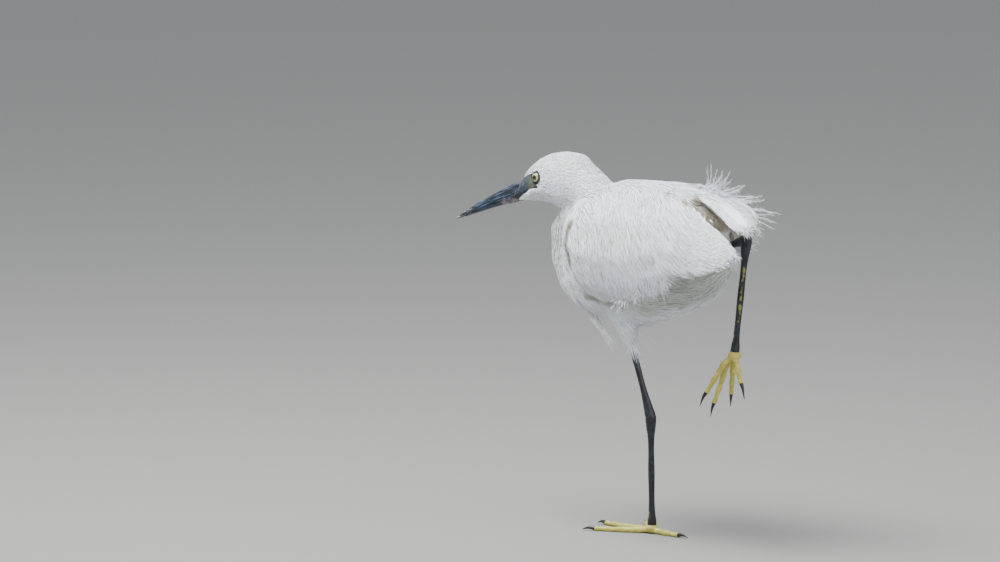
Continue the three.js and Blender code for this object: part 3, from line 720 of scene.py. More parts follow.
def guides() -> list[Guide]:
    """The lie of the whole coat.

    Returns:
        The guides.
    """
    made = [
        head_guide(78, 297, 0, 1, 0.5, 3.2),
        head_guide(70, 309, 0, 1, 0.7, 3.8),
        head_guide(58, 319, 0, 1, 0.45, 4.6),
        head_guide(40, 325, 0, 1, 0, 5.6),
        head_guide(20, 324, 0, 1, -0.4, 7),
        head_guide(4, 309, 0, 1, -0.6, 9),
        head_guide(-16, 300, 0, 1, -0.1, 11),
        head_guide(88, 277, 0, 1, 0.1, 3.2),
        head_guide(70, 278, 0, 1, 0.05, 4.4),
        head_guide(50, 277, 0, 1, -0.1, 6),
        head_guide(34, 274, 0, 1, -0.5, 7),
        head_guide(20, 270, 0, 0.6, -1, 9),
    ]
    for side in (1, -1):
        made += [
            head_guide(66, 305, side * 11, 1, 0.15, 3.6),
            head_guide(50, 310, side * 16, 1, 0.1, 4.6),
            head_guide(66, 285, side * 11, 1, -0.05, 4),
            head_guide(44, 296, side * 18, 1, -0.1, 5.5),
            head_guide(26, 298, side * 18, 1, -0.25, 7),
            head_guide(8, 290, side * 20, 1, -0.5, 10),
            head_guide(-18, 285, side * 27, 1, -0.7, 13),
            Guide((side * 18, 32, 262), (0, 0.15, -1), 13, 1.3, 2.6, 0.1, "breast"),
            Guide((side * 19, 28, 240), (0, 0.3, -1), 14, 1.4, 2.8, 0.15, "breast"),
            Guide((side * 20, 50, 215), (side * 0.1, 0.8, -0.8), 18, 1.6, 3, 0.3, "breast"),
            Guide((side * 34, 78, 200), (side * 0.1, 1, -0.55), 20, 1.7, 3, 0.3, "breast"),
            Guide((side * 36, 120, 192), (0, 1, -0.3), 20, 1.8, 3.2, 0.2, "belly"),
            Guide((side * 32, 175, 208), (0, 1, 0.15), 20, 1.8, 3.2, 0.1, "belly"),
            Guide((side * 18, 225, 232), (0, 0.9, 0.45), 17, 1.7, 3, 0.05, "belly"),
            Guide((side * 15, 222, 287), (0, 1, -0.5), 10, 1.2, 1.1, 0, "rump"),
            Guide((side * 10, 244, 283), (0, 0.6, -0.8), 9, 1.1, 1.0, 0, "rump"),
            Guide((side * 33, 72, 284), (side * 0.35, 0.75, -0.7), 15, 1.5, 2.6, 0.5, f"wing{side}"),
            Guide((side * 40, 74, 256), (side * 0.1, 0.5, -0.9), 16, 1.6, 2.8, 0.7, f"wing{side}"),
            Guide((side * 42, 88, 225), (0, 0.55, -0.85), 17, 1.6, 2.6, 0.7, f"wing{side}"),
            Guide((side * 26, 110, 302), (side * 0.75, 0.55, -0.5), 20, 1.6, 2.8, 0.9, "back"),
            Guide((side * 28, 150, 304), (side * 0.7, 0.6, -0.55), 22, 1.6, 2.8, 1, "back"),
            Guide((side * 28, 190, 302), (side * 0.5, 0.8, -0.5), 22, 1.6, 2.6, 1, "back"),
            Guide((side * 46, 120, 262), (side * 0.1, 0.3, -1), 20, 1.6, 2.8, 1, f"wing{side}"),
            Guide((side * 46, 160, 266), (0, 0.42, -1), 20, 1.6, 2.8, 1, f"wing{side}"),
            Guide((side * 42, 118, 216), (0, 0.55, -0.9), 15, 1.5, 2.2, 0.8, f"wing{side}"),
            Guide((side * 45, 150, 214), (0, 0.3, -1), 14, 1.5, 2.0, 0.8, f"wing{side}"),
            Guide((side * 46, 182, 226), (0, 0.55, -0.9), 12, 1.5, 1.8, 0.6, f"wing{side}"),
            Guide((side * 44, 200, 276), (0, 0.8, -0.85), 19, 1.6, 2.2, 0.9, f"wing{side}"),
            Guide((side * 46, 205, 245), (0, 0.8, -0.75), 14, 1.6, 1.6, 0.5, f"wing{side}"),
            Guide((side * 32, 230, 294), (0, 0.9, -0.6), 8, 1.1, 0.8, 0.3, f"wing{side}"),
            Guide((side * 32, 258, 284), (0, 0.9, -0.6), 7, 1.1, 0.7, 0.1, f"wing{side}"),
            Guide((side * 42, 235, 258), (-side * 0.1, 0.95, -0.45), 12, 1.4, 1.2, 0.3, f"wing{side}"),
            Guide((side * 44, 222, 240), (-side * 0.1, 1, -0.15), 8, 1.3, 1.0, 0.15, f"wing{side}"),
            Guide((side * 41, 250, 244), (-side * 0.1, 1, 0.05), 7, 1.2, 0.8, 0, f"wing{side}"),
            Guide((side * 34, 268, 264), (-side * 0.2, 1, -0.35), 8, 1.2, 0.7, 0, f"wing{side}"),
        ]
    made += [
        Guide((0, 20, 272), (0, -0.5, -1), 10, 1.2, 2.2, 0, "breast"),
        Guide((0, 9, 250), (0, 0, -1), 12, 1.3, 2.5, 0.05, "breast"),
        Guide((0, 12, 228), (0, 0.35, -1), 14, 1.4, 2.8, 0.1, "breast"),
        Guide((0, 32, 204), (0, 0.9, -0.9), 18, 1.6, 3, 0.35, "breast"),
        Guide((0, 70, 183), (0, 1, -0.35), 22, 1.7, 3.2, 0.5, "breast"),
        Guide((0, 110, 179), (0, 1, 0), 20, 1.8, 3.2, 0.2, "belly"),
        Guide((0, 170, 189), (0, 1, 0.3), 19, 1.8, 3.2, 0.1, "belly"),
        Guide((0, 225, 214), (0, 0.9, 0.6), 17, 1.7, 3, 0.05, "belly"),
        Guide((0, 85, 303), (0, 1, 0.1), 17, 1.5, 2.6, 0.4, "back"),
        Guide((0, 130, 310), (0, 1, 0), 20, 1.6, 2.8, 0.8, "back"),
        Guide((0, 180, 312), (0, 1, 0), 22, 1.6, 2.8, 1, "back"),
        Guide((0, 222, 309), (0, 1, -0.12), 22, 1.5, 1.8, 1, "tail"),
        Guide((2, 238, 305), (0.05, 1, -0.22), 22, 1.5, 1.2, 1, "tail"),
        Guide((4, 256, 299), (0.07, 1, -0.38), 18, 1.5, 1, 0.9, "tail"),
        Guide((6, 272, 292), (0.08, 1, -0.52), 14, 1.4, 0.8, 0.7, "tail"),
        Guide((8, 288, 284), (0.08, 1, -0.66), 10, 1.2, 0.7, 0.3, "tail"),
        Guide((15, 232, 304), (0.02, 1, -0.14), 9, 1.1, 0.8, 0.35, "tail"),
        Guide((17, 252, 298), (0, 1, -0.3), 9, 1.1, 0.7, 0.3, "tail"),
        Guide((18, 272, 290), (-0.03, 1, -0.46), 8, 1.1, 0.6, 0.2, "tail"),
        Guide((-13, 240, 300), (0.05, 1, -0.25), 14, 1.3, 0.9, 0.7, "tail"),
        Guide((-10, 268, 290), (0.08, 1, -0.5), 12, 1.2, 0.7, 0.4, "tail"),
        Guide((18, 125, 200), (-0.1, 0.35, -1), 16, 1.5, 2.6, 0.3, "thigh"),
        Guide((16, 137, 165), (-0.07, 0.32, -1), 12, 1.2, 1.5, 0.1, "thigh"),
        Guide((-30, 170, 240), (0.1, 1, 0.3), 18, 1.6, 2.6, 0.1, "belly"),
    ]
    return made


@dataclass
class Lie:
    """The guides as a smooth field, in which the near ones count most."""

    rows: list[Guide]
    batch: int = 8000
    softening: float = 2.0
    falloff: int = 4

    def __post_init__(self) -> None:
        """Gathers the guides into arrays."""
        self.places = placed([g.place for g in self.rows])
        self.ways = unit(np.array([g.way for g in self.rows], float))
        self.sizes = np.array([[g.length, g.width, g.depth, g.plumes] for g in self.rows], float)

    def read(self, points: Array) -> tuple[Array, Array, Array]:
        """The field at points.

        Args:
            points: The points, in metres.
        Returns:
            The ways, the rows of length, width, depth and plumes, and the nearest guides' numbers.
        """
        ways = np.empty((len(points), 3))
        sizes = np.empty((len(points), 4))
        nearest = np.empty(len(points), int)
        for start in range(0, len(points), self.batch):
            part = slice(start, start + self.batch)
            gaps = np.linalg.norm(points[part, None] - self.places[None], axis=2) / MM
            weights = 1 / (gaps + self.softening) ** self.falloff
            weights /= weights.sum(axis=1, keepdims=True)
            ways[part] = weights @ self.ways
            sizes[part] = weights @ self.sizes
            nearest[part] = gaps.argmin(axis=1)
        return unit(ways), sizes, nearest


FLESH = (
    "head", "neck_upper", "neck_lower", "breast", "trunk", "rump", "tail", "thigh_left", "thigh_right",
    "wing_left_coverts", "wing_left_secondaries", "wing_left_primaries",
    "wing_right_coverts", "wing_right_secondaries", "wing_right_primaries",
)


@dataclass
class Skin:
    """The flesh of the frame fused into one body and drawn in by the depth of the coat."""

    lie: Lie
    swell: float = 0.45
    voxel: float = 1.9
    smoothings: int = 9
    probe_start: float = 0.2
    probe_reach: float = 20.0
    deepest_share: float = 0.25
    crease_spread: float = 3.2
    crease_knots: int = 40
    unwrap_angle: float = 1.15
    unwrap_margin: float = 0.004

    def __post_init__(self) -> None:
        """Fuses, draws in and unwraps the skin, and makes it ready to be searched."""
        fused = self._fused()
        self._draw_in(fused)
        self._unwrap(fused)
        declare(fused, "plumage", *FLESH)
        self._index(fused)

    def _fused(self) -> bpy.types.Object:
        """Melts the flesh nodes into one smooth body.

        Returns:
            The body.
        """
        shape = bmesh.new()
        for name in FLESH:
            shape.from_mesh(frame["nodes"][name].data)
        bmesh.ops.remove_doubles(shape, verts=shape.verts, dist=0.01 * MM)
        bmesh.ops.recalc_face_normals(shape, faces=shape.faces)
        shape.normal_update()
        for vert in shape.verts:
            vert.co += vert.normal * self.swell * MM
        mesh = bpy.data.meshes.new("skin_rough")
        shape.to_mesh(mesh)
        shape.free()
        rough = bpy.data.objects.new("skin_rough", mesh)
        bpy.context.scene.collection.objects.link(rough)
        remesh = rough.modifiers.new("fuse", "REMESH")
        remesh.mode = "VOXEL"
        remesh.voxel_size = self.voxel * MM
        even = rough.modifiers.new("even", "SMOOTH")
        even.iterations = self.smoothings
        even.factor = 0.5
        graph = bpy.context.evaluated_depsgraph_get()
        made = bpy.data.meshes.new_from_object(rough.evaluated_get(graph))
        bpy.data.objects.remove(rough)
        made.name = "skin"
        return new_object("skin", made, PLUMAGE)

    def _draw_in(self, fused: bpy.types.Object) -> None:
        """Draws the body in by the depth of the coat, less where it is thin, and carves the folds.

        Args:
            fused: The body.
        """
        mesh = fused.data
        tree = BVHTree.FromPolygons([v.co for v in mesh.vertices], [p.vertices for p in mesh.polygons])
        points = np.array([v.co for v in mesh.vertices])
        normals = np.array([v.normal for v in mesh.vertices])
        depths = self.lie.read(points)[1][:, 2] * MM
        for i, (point, normal) in enumerate(zip(points, normals)):
            inside = point - normal * self.probe_start * MM
            hit = tree.ray_cast(Vector(inside), Vector(-normal), self.probe_reach * MM)
            if hit[0] is not None:
                depths[i] = min(depths[i], self.deepest_share * hit[3])
        self.depths = depths.copy()
        for line, deep in CREASES:
            knots = placed(bent(line, self.crease_knots))
            gaps = np.linalg.norm(points[:, None] - knots[None], axis=2).min(axis=1) / MM
            depths = depths + deep * MM * np.exp(-((gaps / self.crease_spread) ** 2))
        mesh.vertices.foreach_set("co", (points - normals * depths[:, None]).ravel())
        mesh.update()

    def _unwrap(self, fused: bpy.types.Object) -> None:
        """Unwraps the skin's own shape.

        Args:
            fused: The body.
        """
        bpy.ops.object.select_all(action="DESELECT")
        fused.select_set(True)
        bpy.context.view_layer.objects.active = fused
        bpy.ops.object.mode_set(mode="EDIT")
        bpy.ops.mesh.select_all(action="SELECT")
        bpy.ops.uv.smart_project(angle_limit=self.unwrap_angle, island_margin=self.unwrap_margin)
        bpy.ops.object.mode_set(mode="OBJECT")
        fused.data.uv_layers[0].name = "OFBake"

    def _index(self, fused: bpy.types.Object) -> None:
        """Notes the skin's triangles, unwrap and search tree.

        Args:
            fused: The body.
        """
        mesh = fused.data
        mesh.calc_loop_triangles()
        count = len(mesh.loop_triangles)
        corners = np.empty(count * 3, int)
        loops = np.empty(count * 3, int)
        mesh.loop_triangles.foreach_get("vertices", corners)
        mesh.loop_triangles.foreach_get("loops", loops)
        uvs = np.empty(len(mesh.loops) * 2)
        mesh.uv_layers[0].data.foreach_get("uv", uvs)
        self.corners = corners.reshape(-1, 3)
        self.uvs = uvs.reshape(-1, 2)[loops.reshape(-1, 3)]
        self.points = np.array([v.co for v in mesh.vertices])
        self.normals = np.array([v.normal for v in mesh.vertices])
        self.tree = BVHTree.FromPolygons(self.points.tolist(), self.corners.tolist())

    def scattered(self, cells: Array) -> tuple[Array, Array, Array, Array]:
        """Evenly scattered roots.

        Args:
            cells: The area that one root has on each triangle, in square metres, or infinity for none.
        Returns:
            Points, normals, depths of the coat and unwrapped places of the roots.
        """
        a, b, c = (self.points[self.corners[:, i]] for i in range(3))
        areas = np.linalg.norm(np.cross(b - a, c - a), axis=1) / 2
        sums = np.cumsum(areas / cells)
        count = int(sums[-1])
        picks = np.searchsorted(sums, (np.arange(count) + RNG.random(count)) * sums[-1] / count)
        picks = np.minimum(picks, len(areas) - 1)
        r, s = np.sqrt(RNG.random(count)), RNG.random(count)
        weights = np.stack([1 - r, r * (1 - s), r * s], axis=1)
        corners = self.corners[picks]
        return (
            self._mixed(weights, self.points[corners]),
            unit(self._mixed(weights, self.normals[corners])),
            self._mixed(weights, self.depths[corners]),
            self._mixed(weights, self.uvs[picks]),
        )

    @staticmethod
    def _mixed(weights: Array, values: Array) -> Array:
        """Values of triangles' corners, mixed by weights."""
        return np.einsum("nk,nk...->n...", weights, values)

    def middles(self) -> Array:
        """The triangles' middles."""
        return self.points[self.corners].mean(axis=1)

    def unwrapped(self, point: Sequence[float]) -> Array:
        """The place on the unwrap that is nearest to a point, in metres."""
        index = self.tree.find_nearest(Vector(point))[2]
        return self.uvs[index].mean(axis=0)


@dataclass(frozen=True)
class Cut:
    """A kind of feather: rings, widths at root and tip, thickness, lift, wave and how far it strays."""

    rings: int
    root: float
    tip: float
    thick: float
    lift: float
    wave: float
    stray: float


DOWN = Cut(rings=4, root=0.6, tip=0.2, thick=0.1, lift=0.8, wave=0.0, stray=0.05)
CONTOUR = Cut(rings=5, root=0.55, tip=0.16, thick=0.07, lift=0.68, wave=0.0, stray=0.05)
STRAND = Cut(rings=7, root=0.8, tip=0.12, thick=0.22, lift=1.0, wave=0.35, stray=0.04)


@dataclass
class Feathers:
    """Many feathers laid along a skin, gathered into pieces."""

    skin: Skin
    lie: Lie
    held_within: float = 0.75
    loose_reach: float = 0.25
    gap_reach: float = 0.15
    gap_radius: float = 7.5
    settling: float = 0.6
    turning: float = 0.25
    root_height: float = 0.1
    sunk: float = 0.15
    thinnest: float = 0.05
    ridge: float = 1.6
    sway: float = 2.2
    sway_turn: float = 5.0
    pieces: dict[str, list[tuple[Array, Array]]] = field(default_factory=dict)

    def lay(self, cut: Cut, roots: tuple[Array, Array, Array, Array], lengths: Array, widths: Array) -> None:
        """Lays feathers from their roots along the flow of the coat.

        Args:
            cut: Their outline.
            roots: Their points, normals, depths and unwrapped places.
            lengths: Their lengths, in metres.
            widths: Their widths, in metres.
        """
        points, normals, depths, uvs = roots
        ways, _, nearest = self.lie.read(points)
        spread = RNG.normal(0, cut.stray, len(points))
        ways = ways + np.cross(normals, ways) * np.tan(spread)[:, None]
        ways = unit(ways - normals * (ways * normals).sum(axis=1, keepdims=True))
        lines, lifts = [points], [normals]
        reach = np.ones(len(points))
        started_clear = ~self._in_gap(points)
        for _ in range(cut.rings - 1):
            step = (lengths * reach / (cut.rings - 1))[:, None]
            landed = lines[-1] + ways * step
            fresh = lifts[-1].copy()
            for i, point in enumerate(landed.copy()):
                place, normal, _, gap = self.skin.tree.find_nearest(point)
                if gap < self.held_within * step[i, 0]:
                    landed[i] = place
                    fresh[i] = normal
                else:
                    reach[i] *= self.loose_reach
            reach[started_clear & self._in_gap(landed)] *= self.gap_reach
            fresh = unit(lifts[-1] * (1 - self.settling) + fresh * self.settling)
            flow = self.lie.read(landed)[0]
            ways = ways * (1 - self.turning) + flow * self.turning
            ways = unit(ways - fresh * (ways * fresh).sum(axis=1, keepdims=True))
            lines.append(landed)
            lifts.append(fresh)
        rings = self._rings(cut, np.stack(lines, 1), np.stack(lifts, 1), widths, depths)
        patches = self._patches(cut, uvs)
        names = np.array([self.lie.rows[n].piece for n in nearest])
        for piece in np.unique(names):
            own = names == piece
            self.pieces.setdefault(str(piece), []).append((rings[own], patches[own]))

    def _in_gap(self, points: Array) -> Array:
        """Which points are in the gap between the tail and the near wing."""
        knots = placed(bent(GAP_LINE, 12))
        return np.linalg.norm(points[:, None] - knots[None], axis=2).min(axis=1) < self.gap_radius * MM

    def _rings(self, cut: Cut, lines: Array, lifts: Array, widths: Array, depths: Array) -> Array:
        """Three-sided rings along each feather, rising from the skin to the coat's top.

        Args:
            cut: The feathers' outline.
            lines: Their lines on the skin.
            lifts: The skin's normals along them.
            widths: Their widths, in metres.
            depths: The depths of the coat at their roots.
        Returns:
            Feathers by rings by corners by coordinates.
        """
        share = np.linspace(0, 1, cut.rings)
        rise = RNG.uniform(0.8, 1.0, len(lines)) * cut.lift
        climb = self.root_height + (1 - self.root_height) * share[None] ** 0.8
        height = (depths * rise)[:, None] * climb - self.sunk * MM
        middle = lines + lifts * height[..., None]
        ways = unit(np.gradient(lines, axis=1))
        across = unit(np.cross(lifts, ways))
        phase = RNG.uniform(0, 2 * math.pi, len(lines))[:, None]
        sway = np.sin(phase + share[None] * self.sway_turn) * cut.wave * MM * share[None] * self.sway
        middle = middle + across * sway[..., None]
        bulge = np.sin(math.pi * share**0.8) ** 0.5
        outline = np.maximum(bulge, np.where(share < 0.5, cut.root, cut.tip))
        half = widths[:, None] * outline[None] / 2
        thick = np.maximum(half * cut.thick, self.thinnest * MM)
        return np.stack(
            [
                middle - across * half[..., None] - lifts * thick[..., None],
                middle + across * half[..., None] - lifts * thick[..., None],
                middle + lifts * thick[..., None] * self.ridge,
            ],
            axis=2,
        )

    @staticmethod
    def _patches(cut: Cut, uvs: Array) -> Array:
        """Each feather's small patch at its root's place on the unwrap.

        Args:
            cut: The feathers' outline.
            uvs: The roots' places.
        Returns:
            Feathers by rings by corners by the two coordinates.
        """
        corners = np.array([0.0, 1.0, 0.5])
        share = np.linspace(0, 1, cut.rings)
        patch = np.empty((len(uvs), cut.rings, 3, 2))
        patch[..., 0] = uvs[:, None, None, 0] + (corners[None, None] - 0.5) * PATCH
        patch[..., 1] = uvs[:, None, None, 1] + (share[None, :, None] - 0.5) * PATCH
        return patch

    @staticmethod
    def _quads(rings: int) -> Array:
        """The sides of one feather.

        Args:
            rings: How many rings it has.
        Returns:
            Each side's corners, as numbers within the feather.
        """
        faces = []
        for low in range(0, (rings - 1) * 3, 3):
            for i in range(3):
                j = (i + 1) % 3
                faces.append([low + i, low + j, low + 3 + j, low + 3 + i])
        return np.array(faces)

    def made(self) -> None:
        """Makes the pieces, each under the limit of triangles."""
        for name, batches in self.pieces.items():
            part, held, number = [], 0, 0
            for batch in batches:
                each = len(self._quads(batch[0].shape[1])) * 2 + 2
                room = max(1, COAT_PIECE_TRIANGLES // each)
                for start in range(0, len(batch[0]), room):
                    cut = tuple(b[start : start + room] for b in batch)
                    if held + len(cut[0]) * each > COAT_PIECE_TRIANGLES and part:
                        self._object(f"coat_{name}_{number}", part)
                        part, held, number = [], 0, number + 1
                    part.append(cut)
                    held += len(cut[0]) * each
            self._object(f"coat_{name}_{number}", part)

    def _object(self, name: str, batches: list[tuple[Array, Array]]) -> None:
        """Joins batches of feathers into one piece.

        Args:
            name: The piece's name.
            batches: The feathers' rings and patches.
        """
        verts, patches, loops, starts = [], [], [], []
        vert_base = loop_base = 0
        for ring, patch in batches:
            count, rings = ring.shape[:2]
            base = vert_base + np.arange(count) * rings * 3
            square = (self._quads(rings)[None] + base[:, None, None]).reshape(-1, 4)
            last = (rings - 1) * 3
            caps = np.concatenate([base[:, None] + [2, 1, 0], base[:, None] + [last, last + 1, last + 2]])
            verts.append(ring.reshape(-1, 3))
            patches.append(patch.reshape(-1, 2))
            loops += [square.ravel(), caps.ravel()]
            cap_base = loop_base + square.size
            starts += [loop_base + np.arange(len(square)) * 4, cap_base + np.arange(len(caps)) * 3]
            vert_base += count * rings * 3
            loop_base = cap_base + caps.size
        points, corners = np.concatenate(verts), np.concatenate(loops)
        mesh = bpy.data.meshes.new(name)
        mesh.vertices.add(len(points))
        mesh.vertices.foreach_set("co", points.ravel())
        mesh.loops.add(len(corners))
        mesh.loops.foreach_set("vertex_index", corners)
        mesh.polygons.add(sum(map(len, starts)))
        mesh.polygons.foreach_set("loop_start", np.concatenate(starts))
        mesh.update(calc_edges=True)
        layer = mesh.uv_layers.new(name="OFBake")
        layer.data.foreach_set("uv", np.concatenate(patches)[corners].ravel())
        mesh.validate()
        declare(new_object(name, mesh, PLUMAGE), "plumage")


@dataclass
class Coat:
    """All that grows on the skin: down, contour feathers and long strands."""

    skin: Skin
    lie: Lie
    crowding: float = 0.18
    down_length: float = 11.0
    strand_cell: float = 4.6
    strand_share: float = 0.12
    strand_stretch: tuple[float, float] = (1.6, 3.3)
    strand_width: tuple[float, float] = (0.5, 1.1)
    eye_clearing: float = 5.4
    face_start: float = 50.0

    def _clear(self, points: Array) -> Array:
        """Which points are off the bare face and the eyes.

        Args:
            points: The points, in metres.
        Returns:
            The truth for each point.
        """
        spots = points / MM - BODY_ORIGIN
        forward = (spots - HEAD_PIVOT) @ HEAD_FORWARD
        top, back, front = (e[1] + (forward - e[0]) * e[2] for e in (LORES_TOP, CHEEK_BACK, CHEEK_FRONT))
        behind = forward > LORES_BACK[0] + (spots[:, 2] - LORES_BACK[1]) * LORES_BACK[2]
        below = (spots[:, 2] > np.minimum(back, front)) & (spots[:, 2] < top)
        lores = below & behind & (forward > self.face_start)
        fronts = placed([Eye.front_of(side) for side in (1, -1)])
        eyes = np.linalg.norm(points[:, None] - fronts[None], axis=2).min(axis=1) < self.eye_clearing * MM
        return ~(lores | eyes)

    def build(self) -> None:
        """Grows the coat and makes its pieces."""
        feathers = Feathers(self.skin, self.lie)
        middles = self.skin.middles()
        _, sizes, _ = self.lie.read(middles)
        cells = sizes[:, 0] * sizes[:, 1] * MM * MM * self.crowding
        cells[~self._clear(middles)] = np.inf
        roots = self.skin.scattered(cells)
        sizes = self.lie.read(roots[0])[1]
        lengths = sizes[:, 0] * MM * RNG.uniform(0.75, 1.15, len(sizes))
        widths = sizes[:, 1] * MM * RNG.uniform(0.8, 1.2, len(sizes))
        small = sizes[:, 0] < self.down_length
        for chosen, cut in ((small, DOWN), (~small, CONTOUR)):
            feathers.lay(cut, tuple(r[chosen] for r in roots), lengths[chosen], widths[chosen])
        LOG.info("short feathers: %d", len(roots[0]))
        self._strands(feathers, middles)
        feathers.made()

    def _strands(self, feathers: Feathers, middles: Array) -> None:
        """Lays the long silky strands where the guides ask for them.

        Args:
            feathers: What takes them.
            middles: The middles of the skin's triangles.
        """
        plumes = self.lie.read(middles)[1][:, 3]
        spacing = self.strand_cell / np.maximum(plumes, 0.1)
        cells = np.where(plumes > self.strand_share, spacing, np.inf) * MM * MM
        roots = self.skin.scattered(cells)
        sizes = self.lie.read(roots[0])[1]
        lengths = sizes[:, 0] * MM * RNG.uniform(*self.strand_stretch, len(sizes))
        widths = RNG.uniform(*self.strand_width, len(sizes)) * MM
        feathers.lay(STRAND, roots, lengths, widths)
        LOG.info("strands: %d", len(roots[0]))


@dataclass
class Quills:
    """Broad flight and tail feathers that lie on a surface, each one closed thin vane."""

    name: str
    skin: Skin
    lie: Lie
    across: int = 7
    rings: int = 16
    held_within: float = 4.0
    side_held_within: float = 3.0
    ridge: float = 0.35
    thickness: float = 0.45
    taper_start: float = 0.7
    fewest_steps: int = 12
    vanes: list[Array] = field(default_factory=list)

    def vane(self, root: Sequence[float], tip: Sequence[float], width: float, lift: float) -> None:
        """Lays one vane over the coat.

        Args:
            root: Its root, in the body's frame.
            tip: Its tip.
            width: Its width.
            lift: Its height over its neighbours.
        """
        goal = Vector(placed(tip))
        point, normal, _, _ = self.skin.tree.find_nearest(Vector(placed(root)))
        start = point.copy()
        heading = goal - point
        rows = []
        for k in range(self.rings):
            share = k / (self.rings - 1)
            place, fresh, _, gap = self.skin.tree.find_nearest(point)
            if gap < self.held_within * MM or k < self.rings // 2:
                point = place
                normal = (normal * 0.5 + fresh * 0.5).normalized()
            left = (goal - point).length
            if k < self.rings - 3:
                heading = goal - point
            heading = (heading - normal * heading.dot(normal)).normalized()
            across = normal.cross(heading)
            end = max(0.0, (share - self.taper_start) / (1 - self.taper_start))
            half = width / 2 * MM * min(1.0, 0.35 + share * 2.2) * math.sqrt(max(0.03, 1 - end**2.2))
            coat = self.lie.read(np.array([point]))[1][0, 2]
            height = (coat * share + lift * (1.6 * share - 0.6)) * MM
            rows.append(self._row(point, across, normal, half, height))
            step = min(left / max(1, self.rings - 1 - k), (goal - start).length / self.fewest_steps)
            point = point + heading * step
        self.vanes.append(np.array(rows))

    def _row(self, point: Vector, across: Vector, normal: Vector, half: float, height: float) -> list[Vector]:
        """One ring of a vane, bent to the surface under it.

        Args:
            point: Its middle on the surface.
            across: The way across the vane.
            normal: The surface's normal.
            half: Half the vane's width.
            height: The height over the surface.
        Returns:
            The ring's points.
        """
        top, under = [], []
        for i in range(self.across):
            side = 2 * i / (self.across - 1) - 1
            spot = point + across * half * side
            place, _, _, gap = self.skin.tree.find_nearest(spot)
            if gap < self.side_held_within * MM:
                spot = place
            ridge = self.ridge * MM * (1 - abs(side)) ** 2
            top.append(spot + normal * (height + ridge))
            under.append(spot + normal * (height - self.thickness * MM))
        return top + under[::-1]

    def made(self) -> None:
        """Makes the piece."""
        shape = bmesh.new()
        layer = shape.loops.layers.uv.new("OFBake")
        for rings in self.vanes:
            rows = stitched(shape, rings)
            patched(layer, rows, self.skin.unwrapped(rings[0].mean(axis=0)), len(rows[0]))
        bmesh.ops.recalc_face_normals(shape, faces=shape.faces)
        declare(finished(shape, self.name, PLUMAGE), "plumage")


@dataclass
class Plumes:
    """Loose plumes with barbs, and single hairs, as thin closed spikes that stand off the coat."""

    name: str
    skin: Skin
    stem: float = 0.95
    side_stem: float = 0.6
    barb: float = 0.38
    barb_spacing: float = 1.4
    barb_length: tuple[float, float] = (3.5, 9.5)
    tip_share: float = 0.2
    spikes: list[tuple[Array, Array]] = field(default_factory=list)

    def spike(self, line: Array, thick: float) -> None:
        """One tapered hair."""
        radii = thick / 2 * (1 - (1 - self.tip_share) * np.linspace(0, 1, len(line)))
        self.spikes.append((line, radii))

    @staticmethod
    def _arched(start: Array, turn: Array, end: Array, count: int) -> Array:
        """Points of an arch from a start to an end, drawn towards a turning point."""
        s = np.linspace(0, 1, count)[:, None]
        return start * (1 - s) ** 2 + turn * 2 * s * (1 - s) + end * s * s

    def barbed(self, root: Array, tip: Array, copies: int) -> None:
        """A plume with side barbs, and thinner plumes beside it.

        Args:
            root: Its root.
            tip: Its tip.
            copies: How many there are in all.
        """
        for copy in range(copies):
            spread = RNG.normal(0, 2.2, 3) * (copy > 0)
            start = root + spread * (0.7, 1.6, 0.3)
            end = tip + spread * (1.5, 2.2, 2.0) - (tip - root) * (0.16 * copy)
            reach = np.linalg.norm(end - start)
            turn = start + np.array([0, 0.55, 0.05]) * reach
            line = self._arched(start, turn, end, 9)
            self.spike(line, self.stem if copy == 0 else self.side_stem)
            self._barbs(line, reach)

    def _barbs(self, line: Array, reach: float) -> None:
        """The barbs along a plume, shorter towards its tip.

        Args:
            line: The plume's points.
            reach: Its length.
        """
        ways = unit(np.gradient(line, axis=0))
        for i in range(int(reach / self.barb_spacing)):
            share = 0.12 + 0.86 * i * self.barb_spacing / reach
            at = share * (len(line) - 1)
            k = min(int(at), len(line) - 2)
            start = line[k] + (line[k + 1] - line[k]) * (at - k)
            away = unit(np.cross(ways[k], RNG.normal(0, 1, 3)))
            length = RNG.uniform(*self.barb_length) * (1.15 - share)
            end = start + unit(ways[k] * 1.2 + away) * length
            middle = (start + end) / 2 + away * length * 0.12
            self.spike(np.array([start, middle, end]), self.barb)

    def hairs(self, starts: Array, ends: Array, thick: float, sag: Sequence[float]) -> None:
        """Single hairs from starts to ends.

        Args:
            starts: Their roots.
            ends: Their tips.
            thick: Their thickness.
            sag: How their middles are pushed aside.
        """
        for start, end in zip(starts, ends):
            turn = (start + end) / 2 + np.array(sag) + RNG.normal(0, 0.6, 3)
            self.spike(self._arched(start, turn, end, 7), thick)

    def made(self, *nodes: str) -> None:
        """Makes the piece.

        Args:
            nodes: The nodes it stands for.
        """
        shape = bmesh.new()
        layer = shape.loops.layers.uv.new("OFBake")
        for line, radii in self.spikes:
            rows = stitched(shape, placed(tube_rings(line, radii, 3, (0.9, 0.1, 0.43))))
            patched(layer, rows, self.skin.unwrapped(placed(line[0])), 2)
        bmesh.ops.recalc_face_normals(shape, faces=shape.faces)
        declare(finished(shape, self.name, PLUMAGE), "plumage", *nodes)


class Jaw(Enum):
    """The two halves of the bill."""

    UPPER = 1
    LOWER = -1


